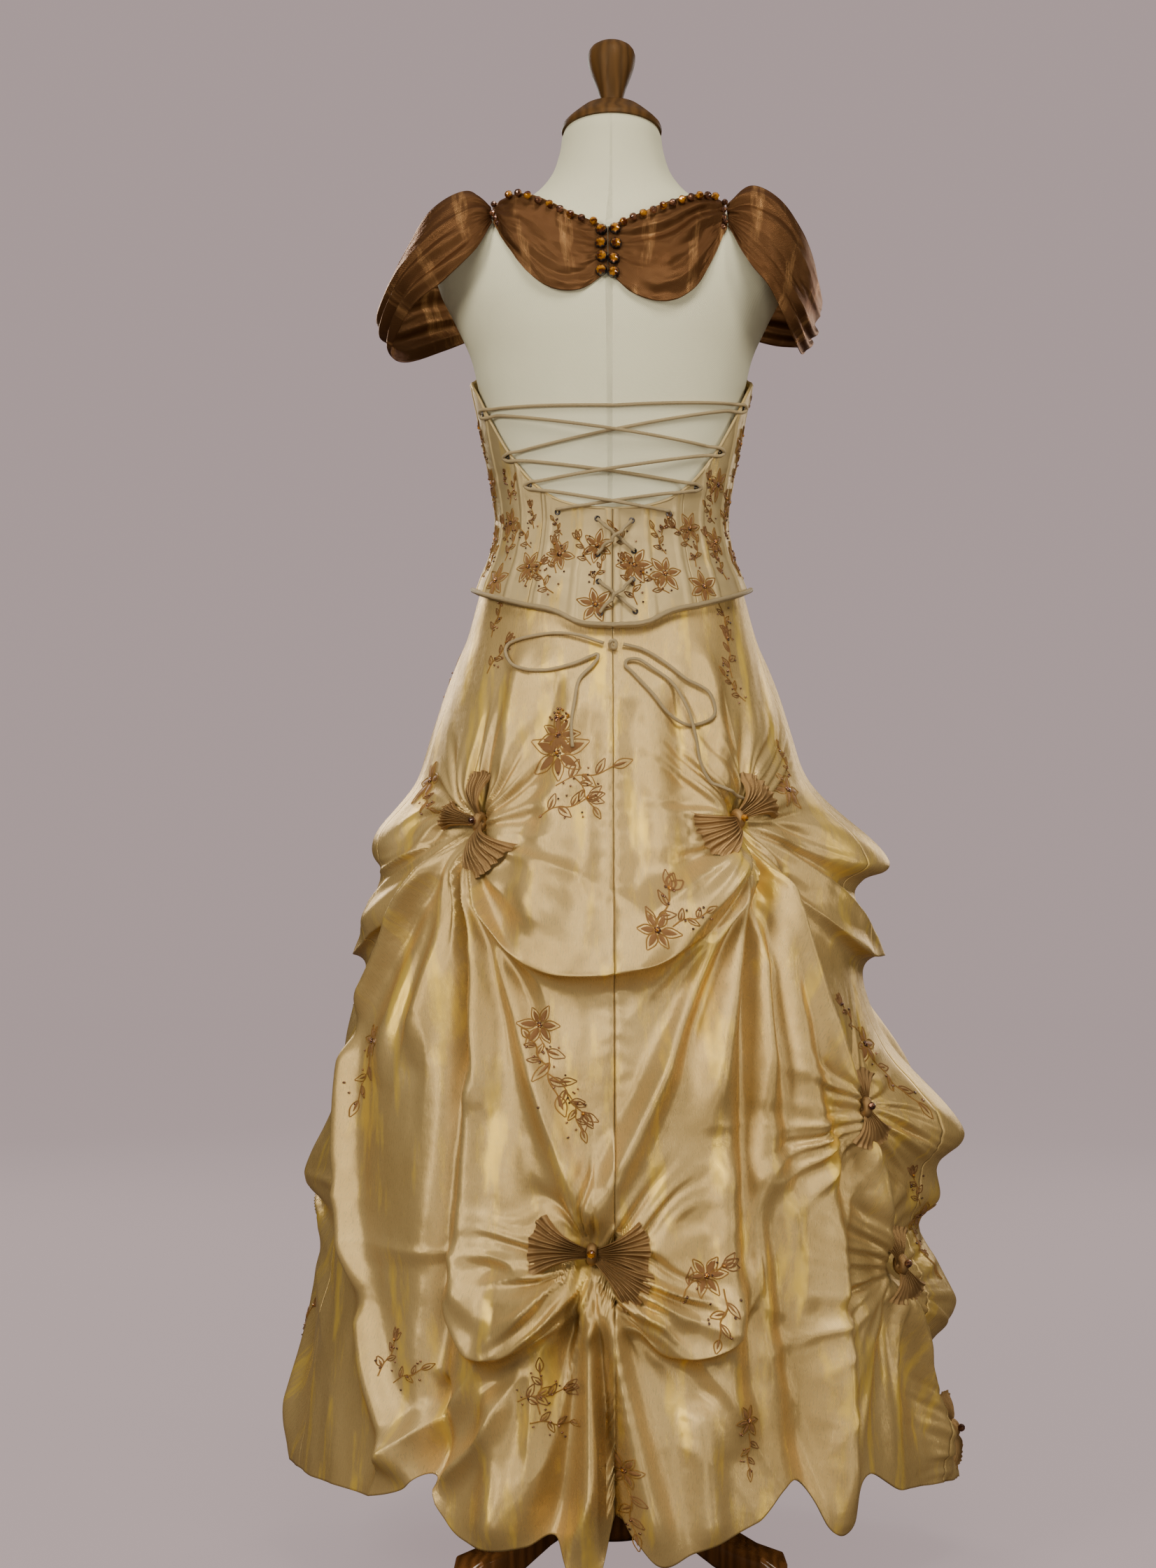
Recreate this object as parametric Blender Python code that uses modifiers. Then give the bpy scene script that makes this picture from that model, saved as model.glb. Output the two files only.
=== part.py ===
"""A rococo ball gown on a limbless dress form with a turned wooden stand.

The gown's back faces -Y, its front +Y, and its right side, as worn, lies at +X.
Lengths are metres. A turn is the angle round the body in degrees: 0 is the centre
back, 90 the right side, 180 the centre front and -90 the left side.
"""
import math

import bmesh
import bpy
import numpy as np
from mathutils import Matrix, Vector
from mathutils.bvhtree import BVHTree

OBJECT_NAME = "rococo_gown"

# Where the stand's axis lies, so that the whole object's box is centred on the origin
AXIS_X = -0.0185
AXIS_Y = 0.0095

SEAM_GAP = 0.0003          # between two pieces that touch
SKIRT_WALL = 0.002
BODICE_WALL = 0.0025
ORGANZA_WALL = 0.0015
WAIST_CLEARANCE = 0.0017   # the skirt's waist seam off the form
BUST_CLEARANCE = 0.0030    # the bodice at the bust, where it rests on the form
BODICE_EASE = 0.0044       # bodice over the form at the waist
BODICE_LOWER_EASE = 0.0054 # bodice over the skirt's waist seam
SKIRT_TUCK = 0.012         # skirt seam hidden above the bodice's lower edge
LACE_RADIUS = 0.002
TRIM_RADIUS = 0.0028

# The dress form's sections: height, half width, depth to the back, depth to the front
FORM_SECTIONS = (
    (0.780, 0.150, 0.106, 0.104),
    (0.900, 0.166, 0.118, 0.108),
    (0.980, 0.158, 0.110, 0.105),
    (1.048, 0.1416, 0.097, 0.099),
    (1.090, 0.127, 0.086, 0.094),
    (1.125, 0.1203, 0.083, 0.092),
    (1.165, 0.1245, 0.086, 0.100),
    (1.212, 0.134, 0.092, 0.113),
    (1.273, 0.146, 0.098, 0.126),
    (1.310, 0.155, 0.101, 0.120),
    (1.345, 0.171, 0.103, 0.108),
    (1.380, 0.188, 0.102, 0.098),
    (1.410, 0.194, 0.097, 0.089),
    (1.435, 0.184, 0.090, 0.080),
    (1.455, 0.158, 0.081, 0.071),
    (1.470, 0.120, 0.073, 0.065),
    (1.485, 0.090, 0.067, 0.060),
    (1.505, 0.069, 0.061, 0.057),
    (1.530, 0.058, 0.056, 0.054),
    (1.560, 0.0535, 0.053, 0.0525),
)
NECK_TILT = math.radians(14.0)
NECK_START = 1.500
NECK_TOP = 1.560

# The bodice's upper and lower edges: turn, height
BODICE_TOP = (
    (0, 1.137), (18, 1.141), (32, 1.152), (43, 1.170), (55, 1.200), (66, 1.234), (78, 1.268),
    (90, 1.281), (105, 1.290), (122, 1.318), (142, 1.338), (160, 1.334), (180, 1.320),
)
BODICE_BOTTOM = (
    (0, 1.006), (14, 1.010), (22, 1.020), (38, 1.029), (62, 1.040), (90, 1.048),
    (115, 1.044), (140, 1.030), (165, 1.004), (180, 0.990),
)
# Bodice seams, as turns, and the names of the panels between them
BODICE_PANELS = (
    ("bodice_back_right", 0, 37), ("bodice_back_side_right", 37, 76),
    ("bodice_side_right", 76, 113), ("bodice_front_side_right", 113, 155),
    ("bodice_front", 155, 205), ("bodice_front_side_left", 205, 247),
    ("bodice_side_left", 247, 284), ("bodice_back_side_left", 284, 323),
    ("bodice_back_left", 323, 360),
)
BONE_HEIGHT = 0.0011
BONE_HALF_WIDTH = 0.0045
BODICE_ROWS = 7
BODICE_RADIUS = 0.13       # about its middle, for turning lengths into turns
WIDE_PANEL = 40.0          # panels wider than this turn get two more columns

# The skirt without folds: height, half width, depth to the back, depth to the front
SKIRT_SECTIONS = (
    (0.040, 0.356, 0.356, 0.342),
    (0.109, 0.348, 0.350, 0.335),
    (0.238, 0.328, 0.334, 0.318),
    (0.325, 0.315, 0.322, 0.303),
    (0.430, 0.306, 0.307, 0.285),
    (0.480, 0.302, 0.298, 0.275),
    (0.583, 0.286, 0.277, 0.252),
    (0.640, 0.270, 0.259, 0.232),
    (0.720, 0.243, 0.230, 0.205),
    (0.790, 0.222, 0.203, 0.180),
    (0.842, 0.211, 0.186, 0.165),
    (0.885, 0.200, 0.171, 0.150),
    (0.971, 0.170, 0.135, 0.122),
    (1.000, 0.159, 0.121, 0.112),
    (1.060, 0.141, 0.098, 0.100),
)
SKIRT_FLARE = 0.07         # height over which the skirt leaves the form
WAIST_RADIUS = 0.16        # at the skirt's seam, its narrowest place
EVEN_STIFFNESS = 0.05      # holds the even wall's steps back where facets are level
LONGEST_STEP = 2.4         # of an even wall's steps, in walls
# The hem's height round the skirt: turn, height
HEM = (
    (-180, 0.086), (-150, 0.094), (-125, 0.088), (-105, 0.104), (-88, 0.108), (-60, 0.112),
    (-40, 0.122), (-35, 0.138), (-31, 0.100), (-24, 0.080), (-15, 0.080), (-10, 0.088),
    (-7, 0.058), (-2.5, 0.054), (0, 0.108), (3, 0.092), (6.5, 0.068), (13, 0.078), (24, 0.102),
    (35, 0.128), (38.5, 0.086), (43, 0.082), (46, 0.114), (60, 0.104), (88, 0.098),
    (110, 0.088), (135, 0.096), (160, 0.080), (180, 0.086),
)
SKIRT_GORES = (
    ("skirt_back_left", -75, 0, 18), ("skirt_back_right", 0, 75, 18),
    ("skirt_side_right", 75, 130, 10), ("skirt_front", 130, 230, 12),
    ("skirt_side_left", 230, 285, 10),
)
# Where the rows of the skirt's mesh lie, as shares of the way from waist to hem
SKIRT_ROWS = (
    0, 0.0125, 0.05, 0.11, 0.17, 0.215, 0.245, 0.28, 0.315, 0.35, 0.39, 0.43, 0.48,
    0.53, 0.58, 0.63, 0.675, 0.715, 0.76, 0.83, 0.91, 1.0,
)

# Each pick-up: bow name, turn, height, depth of its dimple, radius of its dimple
PICK_UPS = (
    ("bow_1", -43.5, 0.800, 0.018, 0.026),
    ("bow_2", 40.0, 0.803, 0.018, 0.026),
    ("bow_3", -4.3, 0.367, 0.024, 0.032),
    ("bow_4", 57.0, 0.500, 0.014, 0.026),
    ("bow_5", 66.0, 0.332, 0.012, 0.026),
    ("bow_6", 84.0, 0.140, 0.006, 0.026),
    ("bow_7", -112.0, 0.440, 0.016, 0.030),
    ("bow_8", 140.0, 0.800, 0.016, 0.028),
    ("bow_9", -140.0, 0.800, 0.016, 0.028),
    ("bow_10", 178.0, 0.380, 0.020, 0.032),
)
# Puffs of cloth between the pick-ups: turn, height, out, half width round, half height
PUFFS = (
    (-78, 0.790, 0.044, 0.075, 0.036),
    (-74, 0.718, 0.018, 0.070, 0.026),
    (84, 0.785, 0.078, 0.070, 0.038),
    (80, 0.700, 0.022, 0.080, 0.045),
    (82, 0.492, 0.084, 0.075, 0.052),
    (84, 0.410, 0.040, 0.080, 0.034),
    (88, 0.300, 0.058, 0.090, 0.060),
    (86, 0.110, 0.030, 0.090, 0.060),
    (-92, 0.425, 0.028, 0.060, 0.050),
    (-22, 0.760, 0.014, 0.060, 0.045),
    (18, 0.760, 0.016, 0.060, 0.045),
    (-15, 0.330, 0.020, 0.050, 0.045),
    (9, 0.335, 0.020, 0.050, 0.040),
    (118, 0.775, 0.050, 0.075, 0.045),
    (-118, 0.775, 0.050, 0.075, 0.045),
    (160, 0.760, 0.026, 0.070, 0.050),
    (-160, 0.760, 0.026, 0.070, 0.050),
    (166, 0.345, 0.026, 0.060, 0.045),
    (-168, 0.345, 0.026, 0.060, 0.045),
)
# Swags that hang in a U from one pick-up to the next:
# turn and height of the left end, of the right end, drop of the middle, out, reach above
SWAGS = (
    (-40, 0.760, 38, 0.765, 0.115, 0.040, 0.120),
    (-138, 0.765, -46, 0.760, 0.105, 0.022, 0.070),
    (42, 0.765, 138, 0.765, 0.100, 0.024, 0.080),
    (142, 0.760, 218, 0.760, 0.120, 0.040, 0.110),
    (-35, 0.345, -7, 0.345, 0.075, 0.022, 0.080),
    (-1, 0.345, 30, 0.340, 0.070, 0.020, 0.070),
    (150, 0.350, 177, 0.350, 0.075, 0.020, 0.070),
    (181, 0.350, 210, 0.350, 0.075, 0.020, 0.070),
)
# Folds and troughs, straight from start to end but for a sideways bow in the middle:
# turn and height of the start, of the end, bow, out, width at the start, at the end
FOLDS = (
    (-44.5, 0.785, -70, 0.590, 0.000, 0.018, 0.010, 0.017),
    (-70, 0.590, -56, 0.310, 0.020, 0.016, 0.017, 0.020),
    (-56, 0.310, -38, 0.130, 0.012, 0.014, 0.020, 0.022),
    (-43, 0.780, -56, 0.540, 0.004, 0.009, 0.010, 0.024),
    (-42, 0.780, -45, 0.560, 0.002, 0.011, 0.010, 0.022),
    (-41, 0.780, -36, 0.200, -0.010, -0.017, 0.010, 0.026),
    (-40, 0.780, -27, 0.520, -0.004, 0.012, 0.010, 0.024),
    (-39, 0.780, -5, 0.400, 0.006, 0.015, 0.011, 0.018),
    (-38, 0.770, -16, 0.560, 0.004, -0.010, 0.010, 0.022),
    (37, 0.785, 5, 0.640, 0.010, 0.012, 0.011, 0.018),
    (37, 0.780, -3, 0.410, -0.004, 0.017, 0.011, 0.018),
    (38, 0.780, 13, 0.560, 0.002, -0.012, 0.010, 0.020),
    (39, 0.780, 19, 0.500, 0.000, 0.011, 0.010, 0.022),
    (40, 0.780, 25, 0.240, 0.004, -0.016, 0.010, 0.024),
    (41, 0.780, 33, 0.520, 0.002, 0.011, 0.010, 0.022),
    (41, 0.780, 39, 0.420, 0.000, -0.010, 0.010, 0.022),
    (42, 0.780, 47, 0.400, 0.002, 0.011, 0.010, 0.024),
    (42.5, 0.780, 64, 0.330, 0.004, 0.020, 0.011, 0.018),
    (64, 0.330, 78, 0.120, 0.000, 0.016, 0.018, 0.020),
    (-5, 0.345, -5, 0.050, -0.004, 0.022, 0.012, 0.018),
    (-3, 0.340, 0.5, 0.080, 0.004, -0.026, 0.011, 0.016),
    (-2, 0.345, 8, 0.070, 0.006, 0.018, 0.012, 0.022),
    (-7, 0.340, -11, 0.080, -0.004, -0.014, 0.012, 0.022),
    (-30, 0.560, -31, 0.300, 0.004, 0.012, 0.020, 0.026),
    (22, 0.480, 20, 0.180, 0.000, 0.012, 0.022, 0.026),
    (32, 0.440, 36, 0.130, 0.000, -0.012, 0.020, 0.026),
    (46, 0.420, 42, 0.090, 0.000, 0.016, 0.020, 0.018),
    (-22, 0.240, -20, 0.080, 0.000, 0.012, 0.020, 0.026),
    (14, 0.230, 16, 0.080, 0.000, 0.010, 0.020, 0.024),
    (-34, 0.240, -34, 0.120, 0.000, -0.018, 0.018, 0.018),
    (-20, 0.980, -25, 0.700, 0.004, -0.007, 0.016, 0.022),
    (-35, 1.000, -33, 0.840, 0.004, 0.006, 0.012, 0.018),
    (24, 0.960, 21, 0.720, 0.004, -0.007, 0.016, 0.024),
    (36, 1.000, 33, 0.840, -0.004, 0.006, 0.012, 0.016),
    (6, 0.940, 7, 0.700, 0.000, -0.006, 0.018, 0.022),
    (-8, 0.930, -8, 0.690, 0.000, -0.006, 0.018, 0.022),
    (100, 0.620, 104, 0.110, 0.000, 0.018, 0.026, 0.034),
    (118, 0.560, 120, 0.100, 0.000, -0.016, 0.026, 0.034),
    (132, 0.600, 130, 0.100, 0.000, 0.018, 0.026, 0.034),
    (140, 0.775, 112, 0.480, 0.000, 0.014, 0.014, 0.030),
    (140, 0.775, 146, 0.420, 0.000, -0.014, 0.014, 0.030),
    (140, 0.775, 174, 0.430, 0.000, 0.016, 0.014, 0.026),
    (-140, 0.775, -112, 0.480, 0.000, 0.014, 0.014, 0.030),
    (220, 0.775, 214, 0.420, 0.000, -0.014, 0.014, 0.030),
    (220, 0.775, 184, 0.430, 0.000, 0.016, 0.014, 0.026),
    (178, 0.355, 172, 0.090, 0.000, 0.020, 0.018, 0.028),
    (178, 0.355, 184, 0.090, 0.000, 0.018, 0.018, 0.028),
    (154, 0.330, 152, 0.100, 0.000, 0.016, 0.026, 0.032),
    (206, 0.330, 208, 0.100, 0.000, 0.016, 0.026, 0.032),
    (-112, 0.420, -118, 0.110, 0.000, 0.018, 0.020, 0.034),
    (-112, 0.420, -98, 0.110, 0.000, -0.014, 0.020, 0.034),
    (-112, 0.420, -84, 0.120, 0.000, 0.014, 0.020, 0.032),
    (-130, 0.600, -134, 0.100, 0.000, 0.016, 0.026, 0.034),
)

# The stand
POLE_RADIUS = 0.016
HUB_RADIUS = 0.052
HUB_BOTTOM = 0.018
HUB_TOP = 0.125
LEG_TURNS = (48.0, 138.0, 228.0, 318.0)
LEG_HALF_WIDTH = 0.024
# A leg's course: distance from the axis, height of its underside, height of its top
LEG_COURSE = (
    (HUB_RADIUS + SEAM_GAP, 0.034, 0.104), (0.080, 0.040, 0.094), (0.120, 0.028, 0.068),
    (0.160, 0.010, 0.044), (0.190, 0.000, 0.035), (0.225, 0.000, 0.031), (0.238, 0.000, 0.020),
)

COLOURS = {
    # name: base colour (linear), roughness, metallic
    "satin": ((0.53, 0.36, 0.14), 0.32, 0.45),
    "bodice": ((0.48, 0.33, 0.14), 0.45, 0.25),
    "organza": ((0.22, 0.105, 0.045), 0.45, 0.1),
    "linen": ((0.62, 0.58, 0.52), 0.9, 0.0),
    "wood": ((0.30, 0.13, 0.045), 0.35, 0.0),
    "dark wood": ((0.10, 0.04, 0.018), 0.35, 0.0),
    "cord": ((0.36, 0.27, 0.16), 0.7, 0.0),
    "gem": ((0.60, 0.26, 0.03), 0.15, 0.0),
}


def clear_scene():
    for thing in list(bpy.data.objects):
        bpy.data.objects.remove(thing, do_unlink=True)


def make_collection():
    group = bpy.data.collections.new(OBJECT_NAME)
    bpy.context.scene.collection.children.link(group)
    return group


def material(name):
    """One Principled material for each colour in the table above."""
    found = bpy.data.materials.get(name)
    if found:
        return found
    colour, roughness, metallic = COLOURS[name]
    made = bpy.data.materials.new(name)
    made.use_nodes = True
    shader = made.node_tree.nodes["Principled BSDF"]
    shader.inputs["Base Color"].default_value = (*colour, 1.0)
    shader.inputs["Roughness"].default_value = roughness
    shader.inputs["Metallic"].default_value = metallic
    return made


def place(group, name, data, colour):
    thing = bpy.data.objects.new(name, data)
    data.materials.append(material(colour))
    thing.location = (AXIS_X, AXIS_Y, 0.0)
    group.objects.link(thing)
    return thing


def ease(low, high, value):
    """A smooth step from 0 at low to 1 at high."""
    share = np.clip((value - low) / (high - low), 0.0, 1.0)
    return share * share * (3.0 - 2.0 * share)


def through(table, column, where):
    """A smooth curve through one column of a table, read against its first column."""
    rows = np.array(table, float)
    xs, ys = rows[:, 0], rows[:, column]
    slopes = np.gradient(ys, xs)
    where = np.clip(np.asarray(where, float), xs[0], xs[-1])
    i = np.clip(np.searchsorted(xs, where) - 1, 0, len(xs) - 2)
    step = xs[i + 1] - xs[i]
    t = (where - xs[i]) / step
    start, end = ys[i], ys[i + 1]
    pull_start, pull_end = slopes[i] * step, slopes[i + 1] * step
    return ((2 * t**3 - 3 * t**2 + 1) * start + (t**3 - 2 * t**2 + t) * pull_start
            + (3 * t**2 - 2 * t**3) * end + (t**3 - t**2) * pull_end)


def about_centre(turn):
    """A turn brought into the range -180 to 180."""
    return (np.asarray(turn, float) + 180.0) % 360.0 - 180.0


def ring_point(table, turn, height):
    """A point on an upright form whose sections are half ellipses, back and front."""
    angle = np.radians(turn)
    width = through(table, 1, height)
    depth = np.where(np.cos(angle) > 0, through(table, 2, height), through(table, 3, height))
    x = width * np.sin(angle)
    y = -depth * np.cos(angle)
    return np.stack([x, y, height + 0.0 * x], axis=-1)


def form_point(turn, height):
    """The dress form's surface, with the neck's top tilted forward."""
    point = ring_point(FORM_SECTIONS, turn, height)
    tilt = ease(NECK_START, NECK_TOP, point[..., 2]) * math.tan(NECK_TILT)
    point[..., 2] = point[..., 2] - point[..., 1] * tilt
    return point


def outward(surface, turn, height):
    """The outward normal of a surface given as a function of turn and height."""
    turn, height = np.broadcast_arrays(np.asarray(turn, float), np.asarray(height, float))
    across = surface(turn + 1.0, height) - surface(turn - 1.0, height)
    upward = surface(turn, height + 0.004) - surface(turn, height - 0.004)
    normal = np.cross(across, upward)
    return normal / np.linalg.norm(normal, axis=-1, keepdims=True)


def off_form(turn, height, gap):
    """A point lying a gap off the dress form."""
    gap = np.asarray(gap, float)[..., None]
    return form_point(turn, height) + outward(form_point, turn, height) * gap


def bodice_ease(turn, height):
    """How far the bodice's inside stands off the form."""
    side = np.abs(about_centre(turn))
    over_skirt = 1.0 - ease(0.016, 0.045, height - through(BODICE_BOTTOM, 1, side))
    at_bust = ease(0.10, 0.03, through(BODICE_TOP, 1, side) - height) * ease(85, 115, side)
    gap = BODICE_EASE + (BODICE_LOWER_EASE - BODICE_EASE) * over_skirt
    return gap + (BUST_CLEARANCE - gap) * at_bust


def bodice_panel(group, name, start, end):
    """One boned panel, with a bone raised beside each seam and in its middle."""
    gap_turn = math.degrees(SEAM_GAP / 2 / BODICE_RADIUS)
    bone = math.degrees(BONE_HALF_WIDTH / BODICE_RADIUS)
    first, last = start + gap_turn, end - gap_turn
    middle = (start + end) / 2
    turns = [first, first + bone, first + 2 * bone, middle - bone, middle, middle + bone,
             last - 2 * bone, last - bone, last]
    raised = [0, 1, 0, 0, 1, 0, 0, 1, 0]
    if end - start > WIDE_PANEL:
        between = [(turns[2] + turns[3]) / 2], [(turns[5] + turns[6]) / 2]
        turns = turns[:3] + between[0] + turns[3:6] + between[1] + turns[6:]
        raised = [0, 1, 0, 0, 0, 1, 0, 0, 0, 1, 0]
    turn = np.array(turns)[:, None]
    side = np.abs(about_centre(turn))
    low, high = through(BODICE_BOTTOM, 1, side), through(BODICE_TOP, 1, side)
    height = low + (high - low) * np.linspace(0, 1, BODICE_ROWS)[None, :]
    turn = turn + 0.0 * height
    gap = bodice_ease(turn, height)
    bone_out = np.array(raised)[:, None] * BONE_HEIGHT
    inner = off_form(turn, height, gap)
    outer = off_form(turn, height, gap + BODICE_WALL + bone_out)
    return wall(group, name, outer, inner, "bodice")


def skirt_reach(turn, height):
    """How far round the skirt a turn lies from the centre back, in metres."""
    return np.radians(turn) * through(SKIRT_SECTIONS, 1, height)


def fold_out(turn, height):
    """How far the folds, puffs, swags and pick-ups push the cloth out."""
    turn = about_centre(turn)
    width = through(SKIRT_SECTIONS, 1, height)
    out = np.zeros(np.broadcast(turn, height).shape)
    for start, high, end, low, bow, size, narrow, wide in FOLDS:
        turn_in = about_centre(turn - (start + end) / 2) + (start + end) / 2
        along_x = skirt_reach(end, low) - skirt_reach(start, high)
        along_z = low - high
        length = math.hypot(along_x, along_z)
        from_x = np.radians(turn_in) * width - skirt_reach(start, high)
        from_z = height - high
        share = (from_x * along_x + from_z * along_z) / length**2
        aside = (from_x * along_z - from_z * along_x) / length
        inside = np.clip(share, 0.0, 1.0)
        aside = aside - bow * 4 * inside * (1 - inside)
        past = (share - inside) * length
        spread = narrow + (wide - narrow) * inside
        fade = ease(-0.02, 0.16, share) * (1 - ease(0.82, 1.12, share))
        out = out + size * fade * np.exp(-(aside**2 + past**2) / spread**2)
    for centre, middle, size, across, tall in PUFFS:
        round_x = np.radians(about_centre(turn - centre)) * width / across
        up = (height - middle) / tall
        out = out + size * np.exp(-round_x**2 - up**2)
    for start, high, end, right_high, drop, size, reach in SWAGS:
        turn_in = about_centre(turn - (start + end) / 2) + (start + end) / 2
        share = np.clip((turn_in - start) / (end - start), 0.0, 1.0)
        line = high + (right_high - high) * share - drop * np.sin(np.pi * share)
        above = (height - line) / reach
        body = np.where(above > 0, np.exp(-(above * 1.7)**2), np.exp(-(above * 5.0)**2))
        out = out + size * np.sin(np.pi * share)**0.7 * body
    for _, centre, middle, depth, radius in PICK_UPS:
        round_x = np.radians(about_centre(turn - centre)) * width
        up = height - middle
        out = out - depth * np.exp(-(round_x**2 + up**2) / radius**2)
    return out


def skirt_point(turn, height):
    """The skirt's outer surface."""
    turn, height = np.broadcast_arrays(np.asarray(turn, float), np.asarray(height, float))
    edge = through(BODICE_BOTTOM, 1, np.abs(about_centre(turn)))
    below = np.clip((edge - height) / SKIRT_FLARE, 0.0, 1.0)
    free = (1 - (1 - below)**2)[..., None]
    waist = off_form(turn, np.maximum(height, 0.80), WAIST_CLEARANCE + SKIRT_WALL + 0.0 * height)
    waist[..., 2] = height
    full = ring_point(SKIRT_SECTIONS, turn, height)
    point = waist * (1 - free) + full * free
    angle = np.radians(turn)
    direction = np.stack([np.sin(angle), -np.cos(angle), 0.0 * angle], axis=-1)
    loose = ease(0.01, 0.09, edge - height)
    return point + direction * (fold_out(turn, height) * loose)[..., None]


def skirt_gore(group, name, start, end, columns):
    """One gore, from its seam tucked under the bodice down to the hem."""
    half_gap = math.degrees(SEAM_GAP / 2 / WAIST_RADIUS)
    turns = np.linspace(start, end, columns + 1)
    for _, centre, _, _, _ in PICK_UPS:
        near = centre + 360 * round(((start + end) / 2 - centre) / 360)
        if start < near < end:
            turns[1 + np.argmin(np.abs(turns[1:-1] - near))] = near
    seam = turns[:, None]
    top = through(BODICE_BOTTOM, 1, np.abs(about_centre(seam))) + SKIRT_TUCK
    hem = through(HEM, 1, about_centre(seam))
    height = top + (hem - top) * np.array(SKIRT_ROWS)[None, :]
    turns[0] += half_gap
    turns[-1] -= half_gap
    outer = skirt_point(turns[:, None] + 0.0 * height, height)
    inner = outer - even_inset(outer, SKIRT_WALL, outer * (1.0, 1.0, 0.0), (start, end))
    return wall(group, name, outer, inner, "satin")


def cell_triangles(outer):
    """The two triangles of each of a grid's cells, split along the shorter diagonal."""
    rows, columns = outer.shape[:2]
    flat = outer.reshape(-1, 3)
    triangles = []
    for i in range(rows - 1):
        for j in range(columns - 1):
            a, b = i * columns + j, (i + 1) * columns + j
            c, d = b + 1, a + 1
            if np.linalg.norm(flat[a] - flat[c]) <= np.linalg.norm(flat[b] - flat[d]):
                triangles += [(a, b, c), (a, c, d)]
            else:
                triangles += [(a, b, d), (b, c, d)]
    return triangles


def even_inset(outer, thick, facing, seams=()):
    """Steps inward, against the way the grid faces, for a wall that is as thick over
    every facet. At the two seams, given as turns, the steps stay in the seam's plane."""
    rows, columns = outer.shape[:2]
    flat, facing = outer.reshape(-1, 3), facing.reshape(-1, 3)
    sums = np.zeros((len(flat), 3, 3))
    pulls = np.zeros((len(flat), 3))
    for triangle in cell_triangles(outer):
        a, b, c = flat[list(triangle)]
        normal = np.cross(b - a, c - a)
        normal /= np.linalg.norm(normal)
        normal *= np.sign(normal @ facing[triangle[0]])
        for number in triangle:
            sums[number] += np.outer(normal, normal)
            pulls[number] += normal * thick
    steps = np.empty_like(flat)
    for number in range(len(flat)):
        matrix = sums[number] + EVEN_STIFFNESS * np.eye(3)
        pull = pulls[number] * (1 + EVEN_STIFFNESS / max(np.trace(sums[number]), 1.0))
        row = number // columns
        if seams and row in (0, rows - 1):
            angle = math.radians(seams[0] if row == 0 else seams[1])
            across = np.array([math.cos(angle), math.sin(angle), 0.0])
            matrix = matrix + 1000.0 * np.outer(across, across)
        step = np.linalg.solve(matrix, pull)
        length = np.linalg.norm(step)
        steps[number] = step * min(1.0, LONGEST_STEP * thick / length)
    return steps.reshape(outer.shape)


def wall(group, name, outer, inner, colour):
    """A closed wall between two grids of points that match."""
    rows, columns = outer.shape[:2]
    count = rows * columns
    work = bmesh.new()
    for grid in (outer, inner):
        for point in grid.reshape(-1, 3):
            work.verts.new(point)
    work.verts.ensure_lookup_table()

    def face(*numbers):
        work.faces.new([work.verts[number] for number in numbers])

    for a, b, c in cell_triangles(outer):
        face(a, b, c)
        face(count + c, count + b, count + a)
    rim = [i * columns for i in range(rows)]
    rim += [(rows - 1) * columns + j for j in range(1, columns)]
    rim += [i * columns + columns - 1 for i in range(rows - 2, -1, -1)]
    rim += [j for j in range(columns - 2, 0, -1)]
    for a, b in zip(rim, rim[1:] + rim[:1]):
        near, far = (b, a) if a < b else (a, b)
        face(b, a, count + near)
        face(far, count + a, count + b)
    bmesh.ops.recalc_face_normals(work, faces=work.faces)
    data = bpy.data.meshes.new(name)
    work.to_mesh(data)
    work.free()
    data.shade_smooth()
    data.set_sharp_from_angle(angle=math.radians(60))
    return place(group, name, data, colour)


def ring_solid(group, name, rings, colour):
    """A closed solid through rings of points, with flat ends."""
    work = bmesh.new()
    loops = [[work.verts.new(point) for point in ring] for ring in rings]
    for low, high in zip(loops, loops[1:]):
        for k in range(len(low)):
            nxt = (k + 1) % len(low)
            work.faces.new([low[k], low[nxt], high[nxt], high[k]])
    work.faces.new(list(reversed(loops[0])))
    work.faces.new(loops[-1])
    bmesh.ops.recalc_face_normals(work, faces=work.faces)
    data = bpy.data.meshes.new(name)
    work.to_mesh(data)
    work.free()
    data.shade_smooth()
    data.set_sharp_from_angle(angle=math.radians(50))
    return place(group, name, data, colour)


def tube(group, name, points, radius, colour, closed=False, sides=2, radii=None):
    """A round cord along a list of points."""
    line = bpy.data.curves.new(name, "CURVE")
    line.dimensions = "3D"
    line.bevel_depth = radius
    line.bevel_resolution = sides
    line.use_fill_caps = not closed
    spline = line.splines.new("POLY")
    spline.points.add(len(points) - 1)
    for number, point in enumerate(points):
        spline.points[number].co = (*point, 1.0)
        spline.points[number].radius = 1.0 if radii is None else radii[number]
    spline.use_cyclic_u = closed
    return place(group, name, line, colour)


def turned(group, name, profile, colour, tilt=0.0, base=(0.0, 0.0, 0.0), steps=16):
    """A turned solid: a profile of (radius, height) rows from top to bottom."""
    data = bpy.data.meshes.new(name)
    points = [(radius, 0.0, height) for radius, height in profile]
    edges = [(k, k + 1) for k in range(len(points) - 1)]
    data.from_pydata(points, edges, [])
    thing = place(group, name, data, colour)
    thing.location = Vector(base) + Vector((AXIS_X, AXIS_Y, 0.0))
    thing.rotation_euler = (-tilt, 0.0, 0.0)
    screw = thing.modifiers.new("turn", "SCREW")
    screw.axis = "Z"
    screw.steps = steps
    screw.render_steps = steps
    screw.use_merge_vertices = True
    screw.merge_threshold = 0.0001
    screw.use_smooth_shade = True
    return thing


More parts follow.
